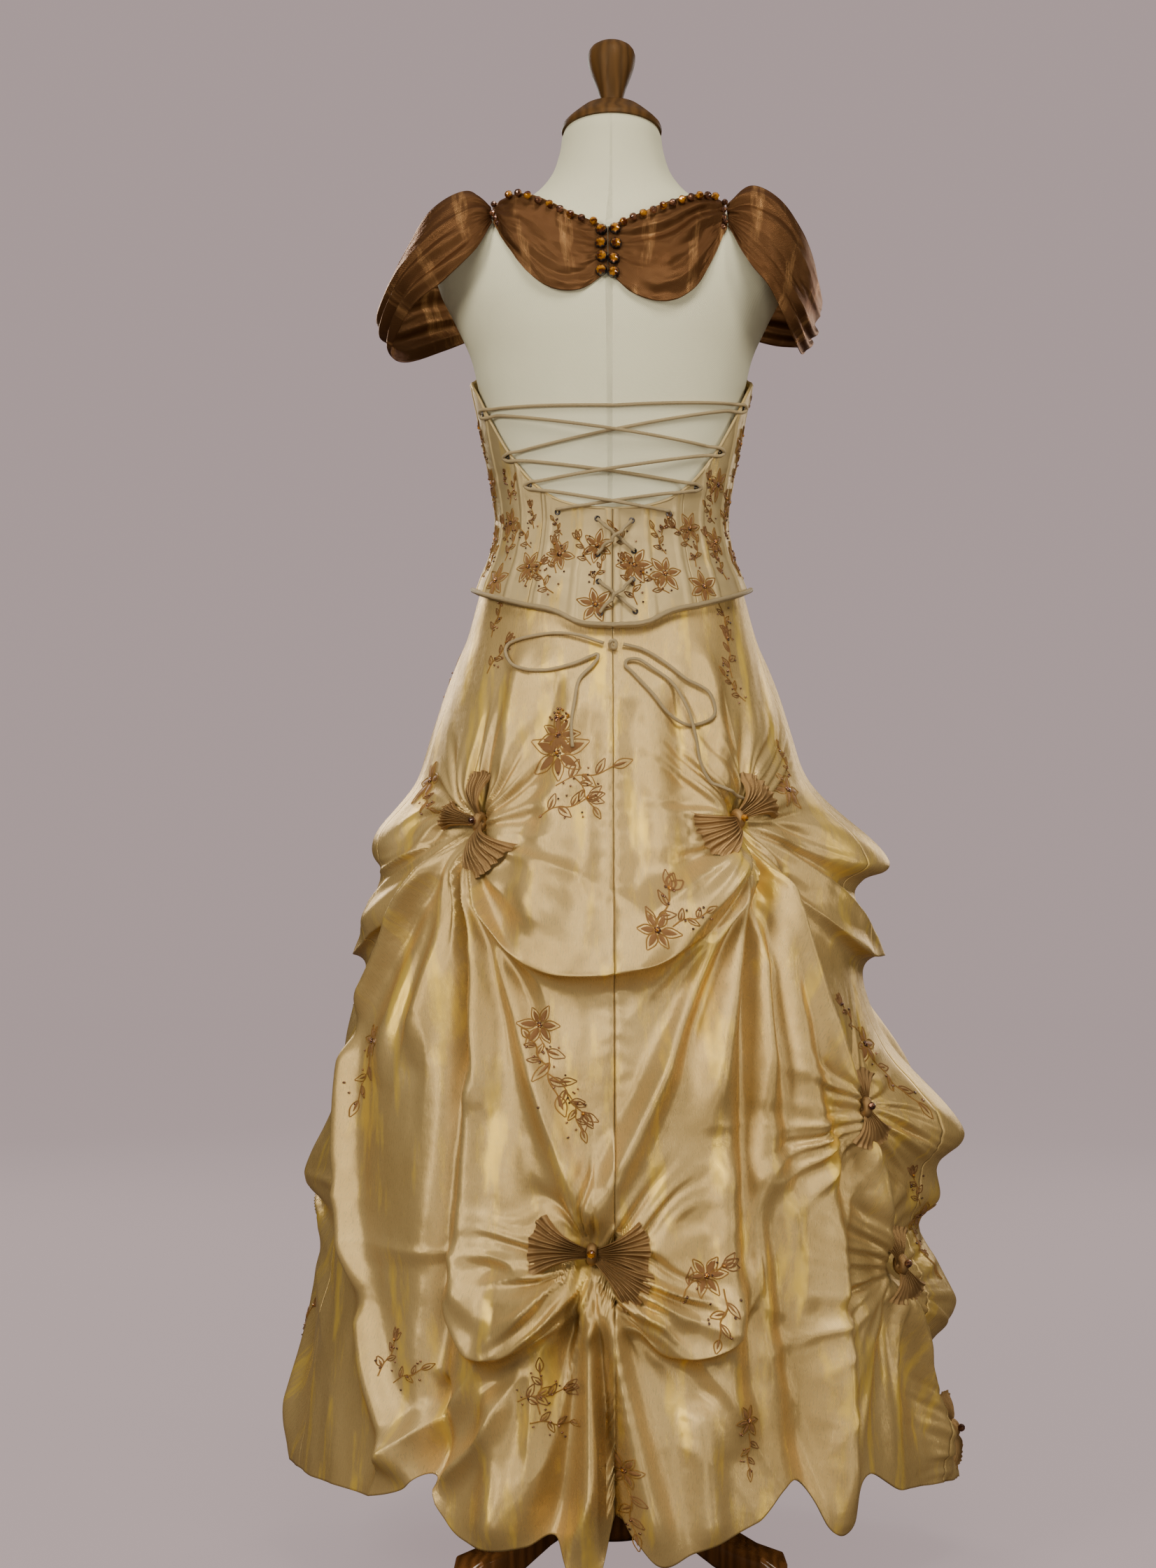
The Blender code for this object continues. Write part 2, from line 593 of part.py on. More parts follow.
def faces_of(things):
    """The corners and faces of some pieces, in the frame of the axis."""
    bpy.context.view_layer.update()
    graph = bpy.context.evaluated_depsgraph_get()
    corners, polygons = [], []
    for thing in things:
        shape = thing.evaluated_get(graph)
        data = shape.to_mesh()
        start = len(corners)
        shift = thing.matrix_world.copy()
        shift.translation -= Vector((AXIS_X, AXIS_Y, 0.0))
        corners += [shift @ vertex.co for vertex in data.vertices]
        data.calc_loop_triangles()
        polygons += [[start + k for k in face.vertices] for face in data.loop_triangles]
        shape.to_mesh_clear()
    return corners, polygons


def surface_of(things):
    """The faces of some pieces, for measuring distances."""
    return BVHTree.FromPolygons(*faces_of(things))


def lay(surface, turn, height, lift, reach=0.60):
    """A point laid on the outer faces, seen from outside at a turn and a height."""
    angle = math.radians(turn)
    direction = Vector((math.sin(angle), -math.cos(angle), 0.0))
    start = Vector((0.0, 0.0, height)) + direction * reach
    hit, normal, _, _ = surface.ray_cast(start, -direction)
    return hit + (normal + direction).normalized() * lift


def keep_off(surface, points, distance):
    """A route moved out until its points and stretches lie at least a distance off."""
    clear = [Vector(point) for point in points]
    for _ in range(10):
        moves = [Vector() for _ in clear]
        for k in range(len(clear) - 1):
            for share in (0.0, 0.25, 0.5, 0.75, 1.0):
                point = clear[k].lerp(clear[k + 1], share)
                _, normal, _, free = surface.find_nearest(point)
                short = distance - free
                level = Vector((point.x, point.y, 0.0))
                way = (normal + level.normalized()).normalized()
                hit = surface.ray_cast(point + level.normalized() * 0.3, -level.normalized())[0]
                if hit and hit.xy.length > level.length:
                    short = hit.xy.length - level.length + distance
                    way = level.normalized()
                for end, weight in ((k, 1.0 - share), (k + 1, share)):
                    if short > 0 and weight > 0 and short > moves[end].length:
                        moves[end] = way * short
        if not any(move.length > 0 for move in moves):
            break
        clear = [point + move for point, move in zip(clear, moves)]
    return clear


def smooth_path(points, count):
    """Points at even steps along a smooth curve through some points."""
    knots = np.array([tuple(point) for point in points], float)
    steps = np.linalg.norm(np.diff(knots, axis=0), axis=1)
    along = np.concatenate([[0.0], np.cumsum(steps)])
    fine = np.linspace(0.0, along[-1], 40 * len(points))
    table = np.column_stack([along, knots])
    dense = np.column_stack([through(table, column, fine) for column in (1, 2, 3)])
    steps = np.linalg.norm(np.diff(dense, axis=0), axis=1)
    length = np.concatenate([[0.0], np.cumsum(steps)])
    even = np.linspace(0.0, length[-1], count)
    return [tuple(np.interp(even, length, dense[:, k])[n] for k in range(3)) for n in range(count)]


def build_form(group):
    turns = np.arange(0, 360, 11.25)
    heights = [row[0] for row in FORM_SECTIONS]
    rings = [form_point(turns, np.full(turns.shape, height)) for height in heights]
    body = ring_solid(group, "form_body", rings, "linen")
    top = (0.0, 0.0, NECK_TOP + SEAM_GAP)
    cap = [(0.0, 0.030), (0.012, 0.0295), (0.026, 0.026), (0.038, 0.019), (0.046, 0.009),
           (0.0495, 0.003), (0.049, 0.0), (0.0, 0.0)]
    turned(group, "neck_cap", cap, "wood", NECK_TILT, top)
    lean = Vector((0.0, math.sin(NECK_TILT), math.cos(NECK_TILT)))
    seat = Vector(top) + lean * (0.030 + SEAM_GAP)
    knob = [(0.0, 0.072), (0.012, 0.0715), (0.022, 0.067), (0.0262, 0.058), (0.0255, 0.047),
            (0.021, 0.032), (0.0155, 0.017), (0.0125, 0.006), (0.0122, 0.0), (0.0, 0.0)]
    turned(group, "finial", knob, "wood", NECK_TILT, seat)
    bottom = FORM_SECTIONS[0][0] - SEAM_GAP
    pole = [(0.0, bottom), (POLE_RADIUS * 2, bottom), (POLE_RADIUS * 2, bottom - 0.012),
            (POLE_RADIUS, bottom - 0.020), (POLE_RADIUS, HUB_TOP + SEAM_GAP),
            (0.0, HUB_TOP + SEAM_GAP)]
    turned(group, "pole", pole, "dark wood", steps=16)
    hub = [(0.0, HUB_TOP), (0.026, HUB_TOP), (0.036, HUB_TOP - 0.008), (HUB_RADIUS, HUB_TOP - 0.018),
           (HUB_RADIUS, HUB_BOTTOM + 0.012), (0.040, HUB_BOTTOM), (0.0, HUB_BOTTOM)]
    turned(group, "base_hub", hub, "dark wood", steps=24)
    for number, turn in enumerate(LEG_TURNS, 1):
        build_leg(group, f"leg_{number}", turn)
    return body


def build_leg(group, name, turn):
    """A low sweeping leg with a flat foot."""
    angle = math.radians(turn)
    out = np.array([math.sin(angle), -math.cos(angle), 0.0])
    side = np.array([math.cos(angle), math.sin(angle), 0.0])
    up = np.array([0.0, 0.0, 1.0])
    rings = []
    for number, (reach, low, high) in enumerate(LEG_COURSE):
        half = LEG_HALF_WIDTH * (0.62 if number == len(LEG_COURSE) - 1 else 1.0)
        half = half * (1.0 - 0.20 * number / len(LEG_COURSE))
        bevel = 0.28 * (high - low)
        section = ((-half, low), (half, low), (half, high - bevel), (half * 0.66, high),
                   (-half * 0.66, high), (-half, high - bevel))
        rings.append([out * reach + side * across + up * height for across, height in section])
    return ring_solid(group, name, rings, "dark wood")


# The bertha's edges: x, y, height along the upper edge, x, y, height along the lower edge
BACK_SWAG_LEFT = (
    (-0.00525, -0.088, 1.438, -0.00525, -0.100, 1.388),
    (-0.040, -0.086, 1.452, -0.035, -0.103, 1.369),
    (-0.070, -0.079, 1.468, -0.066, -0.101, 1.371),
    (-0.098, -0.066, 1.477, -0.092, -0.094, 1.390),
    (-0.122, -0.050, 1.472, -0.112, -0.082, 1.418),
    (-0.130, -0.044, 1.468, -0.128, -0.064, 1.448),
)
BACK_SWAG_RIGHT = (
    (-0.00475, -0.088, 1.438, -0.00475, -0.100, 1.388),
    (0.028, -0.086, 1.452, 0.022, -0.104, 1.364),
    (0.060, -0.080, 1.466, 0.058, -0.104, 1.356),
    (0.088, -0.068, 1.476, 0.088, -0.098, 1.372),
    (0.112, -0.052, 1.476, 0.108, -0.086, 1.406),
    (0.122, -0.046, 1.470, 0.124, -0.066, 1.444),
)
SHOULDER_LEFT = (
    (-0.1312, -0.044, 1.468, -0.1292, -0.064, 1.448),
    (-0.158, -0.050, 1.484, -0.148, -0.088, 1.412),
    (-0.196, -0.054, 1.462, -0.178, -0.094, 1.382),
    (-0.224, -0.040, 1.418, -0.214, -0.074, 1.356),
    (-0.246, -0.006, 1.378, -0.236, -0.014, 1.320),
    (-0.240, 0.046, 1.386, -0.224, 0.044, 1.312),
    (-0.206, 0.088, 1.404, -0.186, 0.092, 1.330),
    (-0.158, 0.106, 1.400, -0.140, 0.122, 1.352),
    (-0.120, 0.114, 1.390, -0.112, 0.126, 1.360),
)
SHOULDER_RIGHT = (
    (0.1232, -0.046, 1.470, 0.1252, -0.066, 1.444),
    (0.150, -0.050, 1.490, 0.146, -0.090, 1.400),
    (0.180, -0.054, 1.474, 0.168, -0.094, 1.370),
    (0.206, -0.042, 1.438, 0.190, -0.076, 1.330),
    (0.222, -0.006, 1.400, 0.205, -0.020, 1.312),
    (0.220, 0.046, 1.396, 0.212, 0.040, 1.326),
    (0.200, 0.088, 1.404, 0.182, 0.092, 1.336),
    (0.156, 0.106, 1.400, 0.138, 0.122, 1.352),
    (0.120, 0.114, 1.390, 0.112, 0.126, 1.360),
)
FRONT_SWAG = (
    (0.1195, 0.114, 1.390, 0.1115, 0.126, 1.360),
    (0.090, 0.122, 1.378, 0.084, 0.136, 1.334),
    (0.056, 0.130, 1.368, 0.052, 0.142, 1.320),
    (0.024, 0.134, 1.368, 0.022, 0.144, 1.326),
    (0.0004, 0.134, 1.374, 0.0004, 0.142, 1.344),
)


def form_gap(point):
    """How far a point lies off the dress form, and the way out from it."""
    def depth(p):
        width = through(FORM_SECTIONS, 1, p[..., 2])
        back = through(FORM_SECTIONS, 2, p[..., 2])
        front = through(FORM_SECTIONS, 3, p[..., 2])
        deep = np.where(p[..., 1] < 0, back, front)
        return np.sqrt((p[..., 0] / width)**2 + (p[..., 1] / deep)**2) - 1.0
    step = 0.0005
    slope = np.stack([(depth(point + step * axis) - depth(point - step * axis)) / (2 * step)
                      for axis in np.eye(3)], axis=-1)
    steep = np.linalg.norm(slope, axis=-1)
    return depth(point) / steep, slope / steep[..., None]


def clear_of_form(points, gap):
    """The points, each moved out where it would lie nearer the form than the gap."""
    points = points.copy()
    for _ in range(6):
        distance, way = form_gap(points)
        short = np.maximum(gap - distance, 0.0)
        points = points + way * short[..., None]
    return points


def drape(group, name, edges, gathers, swell, rows=4, columns=14, gap=0.0006):
    """A swag of organza between its two edges, gathered at both ends."""
    u = np.linspace(0, 1, columns)
    share = np.linspace(0, 1, len(edges))
    table = np.column_stack([share, np.array(edges)])
    upper = np.stack([through(table, k, u) for k in (1, 2, 3)], axis=-1)
    lower = np.stack([through(table, k, u) for k in (4, 5, 6)], axis=-1)
    v = np.linspace(0, 1, rows + 1)
    base = upper[:, None, :] + (lower - upper)[:, None, :] * v[None, :, None]
    across = np.gradient(base, axis=0)
    down = np.gradient(base, axis=1)
    way = np.cross(across, down)
    way = way / np.linalg.norm(way, axis=-1, keepdims=True)
    centre = np.array([0.0, 0.0, 1.40])
    facing = np.sign(np.sum(way * (base - centre), axis=-1).mean())
    way = way * facing
    body = np.sin(np.pi * u)[:, None] ** 0.6
    out = swell * body * np.sin(np.pi * (0.15 + 0.7 * v))[None, :]
    pleats = 0.0035 * np.cos(2 * np.pi * gathers * v)[None, :] * (1 - 0.4 * body)
    edge = ease(0.0, 0.06, u) * ease(0.0, 0.06, 1 - u)
    outer = base + way * ((out + pleats * edge[:, None]))[..., None]
    outer = clear_of_form(outer, gap + ORGANZA_WALL)
    inner = outer - even_inset(outer, ORGANZA_WALL, way)
    inner = clear_of_form(inner, gap)
    return wall(group, name, outer, inner, "organza")


def build_bertha(group):
    """The organza collar: back swags, shoulder drapes and front swags."""
    pieces = [
        drape(group, "drape_back_left", BACK_SWAG_LEFT, 2, 0.010, columns=11),
        drape(group, "drape_back_right", BACK_SWAG_RIGHT, 2, 0.010, columns=11),
        drape(group, "drape_shoulder_left", SHOULDER_LEFT, 2, 0.012, columns=15),
        drape(group, "drape_shoulder_right", SHOULDER_RIGHT, 2, 0.012, columns=15),
        drape(group, "drape_front_right", FRONT_SWAG, 2, 0.010, columns=9),
    ]
    mirrored = [(-a, b, c, -d, e, f) for a, b, c, d, e, f in FRONT_SWAG]
    pieces.append(drape(group, "drape_front_left", mirrored, 2, 0.010, columns=9))
    return pieces


def beads(group, surface, name, ends, count, bead):
    """A string of touching beads along a route, thick at each bead, thin between."""
    number = 2 * count + 1
    route = keep_off(surface, smooth_path(ends, number), bead + 0.0003)
    radii = [0.42 if k % 2 == 0 else 1.0 for k in range(number)]
    return tube(group, name, route, bead, "gem", sides=1, radii=radii)


def build_beads(group, surface):
    """Bead chains on the collar's upper edge, the clasp's gems and the gathers' beads."""
    def on(x, height, lift):
        hit, normal, _, _ = surface.ray_cast(Vector((x, -0.5, height)), Vector((0.0, 1.0, 0.0)))
        return hit + (normal + Vector((0.0, -1.0, 0.0))).normalized() * lift
    bead = 0.0048
    lift = bead + 0.0005
    left = [on(-0.014, 1.441, lift), on(-0.040, 1.447, lift), on(-0.068, 1.461, lift),
            on(-0.094, 1.471, lift)]
    right = [on(0.006, 1.441, lift), on(0.030, 1.448, lift), on(0.060, 1.461, lift),
             on(0.090, 1.471, lift), on(0.114, 1.470, lift)]
    beads(group, surface, "bead_chain_left", left, 8, bead)
    beads(group, surface, "bead_chain_right", right, 11, bead)
    gem = 0.0060
    lift = gem + 0.0006
    beads(group, surface, "clasp_left",
          [on(-0.0140, 1.430, lift), on(-0.0140, 1.388, lift)], 4, gem)
    beads(group, surface, "clasp_right",
          [on(0.0030, 1.430, lift), on(0.0030, 1.388, lift)], 4, gem)
    small = 0.0035
    lift = small + 0.0006
    beads(group, surface, "shoulder_beads_left",
          [on(-0.126, 1.468, lift), on(-0.124, 1.445, lift)], 4, small)
    beads(group, surface, "shoulder_beads_right",
          [on(0.118, 1.468, lift), on(0.120, 1.440, lift)], 5, small)


# Eyelets: turn and height, down the left edge, down the right edge, and the inner pairs
EYES_LEFT = ((-72, 1.246), (-56, 1.196), (-43.5, 1.164), (-28, 1.134))
EYES_RIGHT = ((74, 1.252), (58, 1.202), (44.5, 1.162), (29, 1.132))
INNER_LEFT = ((-7.5, 1.126), (-7.0, 1.086), (-6.0, 1.056), (-5.0, 1.022))
INNER_RIGHT = ((9.5, 1.124), (10.0, 1.090), (8.5, 1.058), (9.0, 1.024))
EYE_REACH = 0.003          # half the height of the cord's turn at an eyelet
LACE_LIFT = LACE_RADIUS + 0.0005
LACE_OVER = 2 * LACE_RADIUS + 0.0030


def strand(surface, start, end, points, over):
    """A straight stretch of lacing over the back, raised by `over` in its middle."""
    path = []
    for k in range(points):
        share = k / (points - 1)
        turn = start[0] + (end[0] - start[0]) * share
        height = start[1] + (end[1] - start[1]) * share
        hump = math.exp(-((share - 0.5) / 0.28)**2)
        path.append(lay(surface, turn, height, LACE_LIFT + over * hump))
    return path


def lacing_chain(surface, eyes, first_points, over):
    """A cord from the middle of the top strand down through its eyelets."""
    middle = (1.0 + math.copysign(0.25, eyes[0][0]), 1.247)
    top = (eyes[0][0], eyes[0][1] + EYE_REACH)
    route = strand(surface, middle, top, first_points, 0.0)
    for number, (begin, end) in enumerate(zip(eyes, eyes[1:])):
        leave = (begin[0], begin[1] - EYE_REACH)
        arrive = (end[0], end[1] + EYE_REACH)
        turn_at = (begin[0] + math.copysign(2.2, begin[0]), begin[1])
        route.append(lay(surface, *turn_at, LACE_LIFT))
        route += strand(surface, leave, arrive, 8 if number < 2 else 6, over)
    return keep_off(surface, route, LACE_LIFT)


def build_lacing(group, surface):
    """The cord that draws the back together, laid over the form and the bodice."""
    chain_a = (EYES_RIGHT[0], EYES_LEFT[1], EYES_RIGHT[2], EYES_LEFT[3])
    chain_b = (EYES_LEFT[0], EYES_RIGHT[1], EYES_LEFT[2], EYES_RIGHT[3])
    tube(group, "lace_a", lacing_chain(surface, chain_a, 5, 0.0), LACE_RADIUS, "cord")
    tube(group, "lace_b", lacing_chain(surface, chain_b, 5, LACE_OVER), LACE_RADIUS, "cord")
    pairs = ((INNER_LEFT[0], INNER_RIGHT[1], 0.0), (INNER_RIGHT[0], INNER_LEFT[1], LACE_OVER),
             (INNER_LEFT[2], INNER_RIGHT[3], 0.0), (INNER_RIGHT[2], INNER_LEFT[3], LACE_OVER))
    for number, (begin, end, over) in enumerate(pairs, 1):
        route = keep_off(surface, strand(surface, begin, end, 5, over), LACE_LIFT)
        tube(group, f"lace_cross_{number}", route, LACE_RADIUS, "cord")


# The bow of the lacing cord: turn, height, extra lift above the cloth
LACE_KNOT = (0.3, 0.988)
LOOP_LEFT = (
    (-4.6, 0.990, 0.002), (-20, 1.000, 0.002), (-38, 1.000, 0.0), (-51, 0.988, 0.0),
    (-42, 0.967, 0.0), (-30, 0.962, 0.0), (-18, 0.968, 0.001), (-6.5, 0.977, 0.002),
    (-8.5, 0.968, 0.002), (-14, 0.952, 0.0), (-15, 0.930, 0.0), (-15.5, 0.903, 0.0),
    (-14.5, 0.880, 0.0),
)
LOOP_RIGHT = (
    (5.2, 0.989, 0.002), (14, 0.984, 0.001), (23, 0.970, 0.001), (30, 0.954, 0.0),
    (37.5, 0.937, 0.0), (37, 0.914, 0.0), (29, 0.903, 0.0), (21, 0.916, 0.0),
    (15.5, 0.937, 0.0), (9.5, 0.956, 0.0), (5.5, 0.970, 0.001), (9.0, 0.973, 0.002),
    (18, 0.962, 0.001), (26, 0.943, 0.001), (29.5, 0.922, 0.005), (29.5, 0.886, 0.005),
    (29.5, 0.862, 0.0), (32, 0.845, 0.0), (38.5, 0.832, 0.0), (47, 0.822, 0.0),
)


def build_lace_bow(group, surface):
    """The knot and the two free ends, each a loop and a tail."""
    lift = LACE_RADIUS + 0.0006
    knot = lay(surface, *LACE_KNOT, 0.0065)
    data = bpy.data.meshes.new("lace_knot")
    work = bmesh.new()
    bmesh.ops.create_uvsphere(work, u_segments=10, v_segments=6, radius=0.0056)
    bmesh.ops.translate(work, verts=work.verts, vec=knot)
    work.to_mesh(data)
    work.free()
    data.shade_smooth()
    place(group, "lace_knot", data, "cord")
    for name, table, count in (("lace_bow_left", LOOP_LEFT, 28), ("lace_bow_right", LOOP_RIGHT, 38)):
        route = [lay(surface, turn, height, lift + extra) for turn, height, extra in table]
        path = keep_off(surface, smooth_path(route, count), lift)
        tube(group, name, path, LACE_RADIUS, "cord")


def build_waist_cord(group):
    """The round cord sewn over the bones along the bodice's lower edge."""
    turn = np.arange(0, 360, 10.0)
    height = through(BODICE_BOTTOM, 1, np.abs(about_centre(turn))) + TRIM_RADIUS
    off = BODICE_LOWER_EASE + BODICE_WALL + BONE_HEIGHT + TRIM_RADIUS + 0.0009
    points = off_form(turn, height, off + 0.0 * turn)
    tube(group, "waist_cord", points, TRIM_RADIUS, "cord", closed=True, sides=1)


# Each bow's lobes: direction in degrees from +x as seen, length, half width at the tip
BOW_LOBES = {
    "bow_1": ((100, 0.046, 0.014), (-48, 0.062, 0.034)),
    "bow_2": ((205, 0.052, 0.028), (35, 0.046, 0.036)),
    "bow_3": ((175, 0.056, 0.032), (8, 0.052, 0.030)),
    "bow_4": ((105, 0.036, 0.022), (-75, 0.036, 0.022)),
    "bow_5": ((105, 0.036, 0.022), (-75, 0.036, 0.022)),
    "bow_6": ((105, 0.036, 0.022), (-75, 0.036, 0.022)),
    "bow_7": ((170, 0.050, 0.030), (10, 0.050, 0.030)),
    "bow_8": ((160, 0.050, 0.030), (-30, 0.054, 0.032)),
    "bow_9": ((205, 0.052, 0.030), (25, 0.048, 0.032)),
    "bow_10": ((175, 0.054, 0.032), (8, 0.052, 0.030)),
}
EDGE_SHARES = (0.1, 0.2, 0.3, 0.4, 0.5, 0.6, 0.7, 0.8, 0.9)
BOW_START = 0.14           # how far off the cloth a bow starts before it is seated
BOW_COLUMNS = (-1.0, -0.62, -0.24, 0.0, 0.24, 0.62, 1.0)


def bow_points(lobes):
    """A bow in its own frame: outer and inner grids, x to the right, y up, z out."""
    spread = (-1.0, -0.5, 0.0, 0.5, 1.0)
    outer, inner = [], []
    for u in BOW_COLUMNS:
        direction, length, half = lobes[0] if u < 0 else lobes[1]
        away = abs(u)
        angle = math.radians(direction)
        pull = np.array([math.cos(angle), math.sin(angle)]) * length * away
        left = math.radians(lobes[0][0])
        right = math.radians(lobes[1][0])
        middle = np.array([math.cos(right) - math.cos(left), math.sin(right) - math.sin(left)])
        middle = middle / np.linalg.norm(middle)
        own = np.array([math.cos(angle), math.sin(angle)]) * (-1 if u < 0 else 1)
        line = middle + (own - middle) * min(1.0, away / 0.3)
        line = line / np.linalg.norm(line)
        aside = np.array([-line[1], line[0]])
        width = 0.006 + (half - 0.006) * away**0.8
        for_column_out, for_column_in = [], []
        for number, v in enumerate(spread):
            tip = 1.0 - 0.10 * v * v * away
            pleat = 0.0022 * (1 if number % 2 else -1) * min(1.0, away * 3)
            rise = 0.010 + 0.010 * math.sin(math.pi * min(1.0, away * 1.1)) - 0.004 * away
            flat = pull * tip + aside * width * v
            thick = 0.0026 + 0.009 * (1 - min(1.0, away / 0.4))
            top = rise + pleat + 0.003 * (1 - min(1.0, away / 0.3))
            for_column_out.append((*flat, top))
            for_column_in.append((*flat, top - thick))
        outer.append(for_column_out)
        inner.append(for_column_in)
    return np.array(outer), np.array(inner)


def nearest(surface, points):
    """The least distance from some points to a surface."""
    return min(surface.find_nearest(Vector(point))[3] for point in points)


def grid_samples(grid):
    """Points spread over a grid's faces, nine along each edge."""
    for _ in range(3):
        rows, columns = grid.shape[:2]
        taller = np.empty((2 * rows - 1, columns, 3))
        taller[::2], taller[1::2] = grid, 0.5 * (grid[1:] + grid[:-1])
        grid = np.empty((2 * rows - 1, 2 * columns - 1, 3))
        grid[:, ::2], grid[:, 1::2] = taller, 0.5 * (taller[:, 1:] + taller[:, :-1])
    return grid.reshape(-1, 3)


def grid_surface(grid, shift):
    """The faces of a grid of points, moved, for measuring distances."""
    rows, columns = grid.shape[:2]
    faces = [(i * columns + j, (i + 1) * columns + j, (i + 1) * columns + j + 1, i * columns + j + 1)
             for i in range(rows - 1) for j in range(columns - 1)]
    return BVHTree.FromPolygons([Vector(p) for p in grid.reshape(-1, 3) + shift], faces)


def seat_bow(group, skirt, skirt_samples, name, turn, height):
    """A bow brought up to the cloth over its pick-up until it almost touches."""
    angle = math.radians(turn)
    out = Vector((math.sin(angle), -math.cos(angle), 0.0))
    lean = math.radians(9.0)
    out = (out * math.cos(lean) + Vector((0.0, 0.0, 1.0)) * math.sin(lean)).normalized()
    right = Vector((math.cos(angle), math.sin(angle), 0.0))
    up = out.cross(right)
    turn_to = np.array(Matrix((right, up, out)))
    outer, inner = (grid @ turn_to for grid in bow_points(BOW_LOBES[name]))
    spot = np.array(skirt_point(turn, height))
    at = spot + np.array(out) * BOW_START
    beside = skirt_samples[np.linalg.norm(skirt_samples - spot, axis=1) < 0.12]
    tested = np.concatenate([grid_samples(inner), grid_samples(outer)])
    for _ in range(40):
        free = min(nearest(skirt, tested + at), nearest(grid_surface(inner, at), beside))
        if free < 0.0009:
            break
        at = at - np.array(out) * (free - 0.0007)
    return wall(group, name, outer + at, inner + at, "organza")


def skirt_points(gores):
    """The skirt's corners, and points along its edges, for seating the bows."""
    corners, polygons = faces_of(gores)
    corners = np.array([tuple(corner) for corner in corners])
    between = [corners[a] + (corners[b] - corners[a]) * share for face in polygons
               for a, b in zip(face, face[1:] + face[:1]) for share in EDGE_SHARES]
    return np.concatenate([corners, np.array(between)])


def build():
    clear_scene()
    group = make_collection()
    form = build_form(group)
    panels = [bodice_panel(group, *row) for row in BODICE_PANELS]
    gores = [skirt_gore(group, *row) for row in SKIRT_GORES]
    bertha = build_bertha(group)
    build_beads(group, surface_of([form] + bertha))
    build_waist_cord(group)
    build_lacing(group, surface_of([form] + panels))
    trimmed = [bpy.data.objects["waist_cord"]]
    build_lace_bow(group, surface_of(gores + panels + trimmed))
    skirt, samples = surface_of(gores), skirt_points(gores)
    for name, turn, height, _, _ in PICK_UPS:
        seat_bow(group, skirt, samples, name, turn, height)


build()
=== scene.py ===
"""The looks of a rococo ball gown on a limbless dress form, laid out as an add-on.

The gown's back faces -Y, its front +Y, and its right side, as worn, lies at +X.
Lengths are metres. A turn is the angle round the body in degrees: 0 is the centre
back, 90 the right side, 180 the centre front and -90 the left side.
"""
import functools
import math

import bmesh
import bpy
import numpy as np
from mathutils import Matrix, Vector
from mathutils.bvhtree import BVHTree


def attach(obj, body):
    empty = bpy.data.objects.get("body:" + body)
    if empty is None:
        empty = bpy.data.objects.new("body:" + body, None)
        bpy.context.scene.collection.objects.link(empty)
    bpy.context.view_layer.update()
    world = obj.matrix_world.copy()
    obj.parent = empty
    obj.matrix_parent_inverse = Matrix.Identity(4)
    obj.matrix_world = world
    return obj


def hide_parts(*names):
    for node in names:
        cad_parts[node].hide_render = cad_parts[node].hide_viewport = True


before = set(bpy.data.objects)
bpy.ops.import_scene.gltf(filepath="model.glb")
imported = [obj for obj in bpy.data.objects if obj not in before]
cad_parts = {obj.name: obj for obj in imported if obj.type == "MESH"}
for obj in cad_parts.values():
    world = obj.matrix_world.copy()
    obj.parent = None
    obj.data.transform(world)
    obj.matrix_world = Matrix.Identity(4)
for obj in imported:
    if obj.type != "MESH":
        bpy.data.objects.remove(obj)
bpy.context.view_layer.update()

bl_info = {
    "name": "Rococo gown on a dress form",
    "version": (1, 0, 0),
    "blender": (4, 5, 0),
    "location": "View3D > Sidebar > Gown",
    "description": "Builds the cloth, cords, beads and stand of a back-laced ball gown",
    "category": "Object",
}

# The stand's axis, and the walls and clearances of the cloth
AXIS_X = -0.0185
AXIS_Y = 0.0095
SEAM_GAP = 0.0003
SKIRT_WALL = 0.002
BODICE_WALL = 0.0025
ORGANZA_WALL = 0.0015
WAIST_CLEARANCE = 0.0017
BUST_CLEARANCE = 0.0030
BODICE_EASE = 0.0044
BODICE_LOWER_EASE = 0.0054
SKIRT_TUCK = 0.012
LACE_RADIUS = 0.002
LACE_OFF = LACE_RADIUS + 0.0006
TRIM_RADIUS = 0.0028
BINDING_RADIUS = 0.0017
CORD_SIDES = 8
CORD_PITCH = 0.008         # length of one turn of a cord's strands
CORD_GROOVE = 0.18         # depth of the grooves between them, as a share of the radius

# The dress form's sections: height, half width, depth to the back, depth to the front
FORM_SECTIONS = (
    (0.780, 0.150, 0.106, 0.104),
    (0.900, 0.166, 0.118, 0.108),
    (0.980, 0.158, 0.110, 0.105),
    (1.048, 0.1416, 0.097, 0.099),
    (1.090, 0.127, 0.086, 0.094),
    (1.125, 0.1203, 0.083, 0.092),
    (1.165, 0.1245, 0.086, 0.100),
    (1.212, 0.134, 0.092, 0.113),
    (1.273, 0.146, 0.098, 0.126),
    (1.310, 0.155, 0.101, 0.120),
    (1.345, 0.171, 0.103, 0.108),
    (1.380, 0.188, 0.102, 0.098),
    (1.410, 0.194, 0.097, 0.089),
    (1.435, 0.184, 0.090, 0.080),
    (1.455, 0.158, 0.081, 0.071),
    (1.470, 0.120, 0.073, 0.065),
    (1.485, 0.090, 0.067, 0.060),
    (1.505, 0.069, 0.061, 0.057),
    (1.530, 0.058, 0.056, 0.054),
    (1.560, 0.0535, 0.053, 0.0525),
)
NECK_TILT = math.radians(14.0)
NECK_START = 1.500
NECK_TOP = 1.560

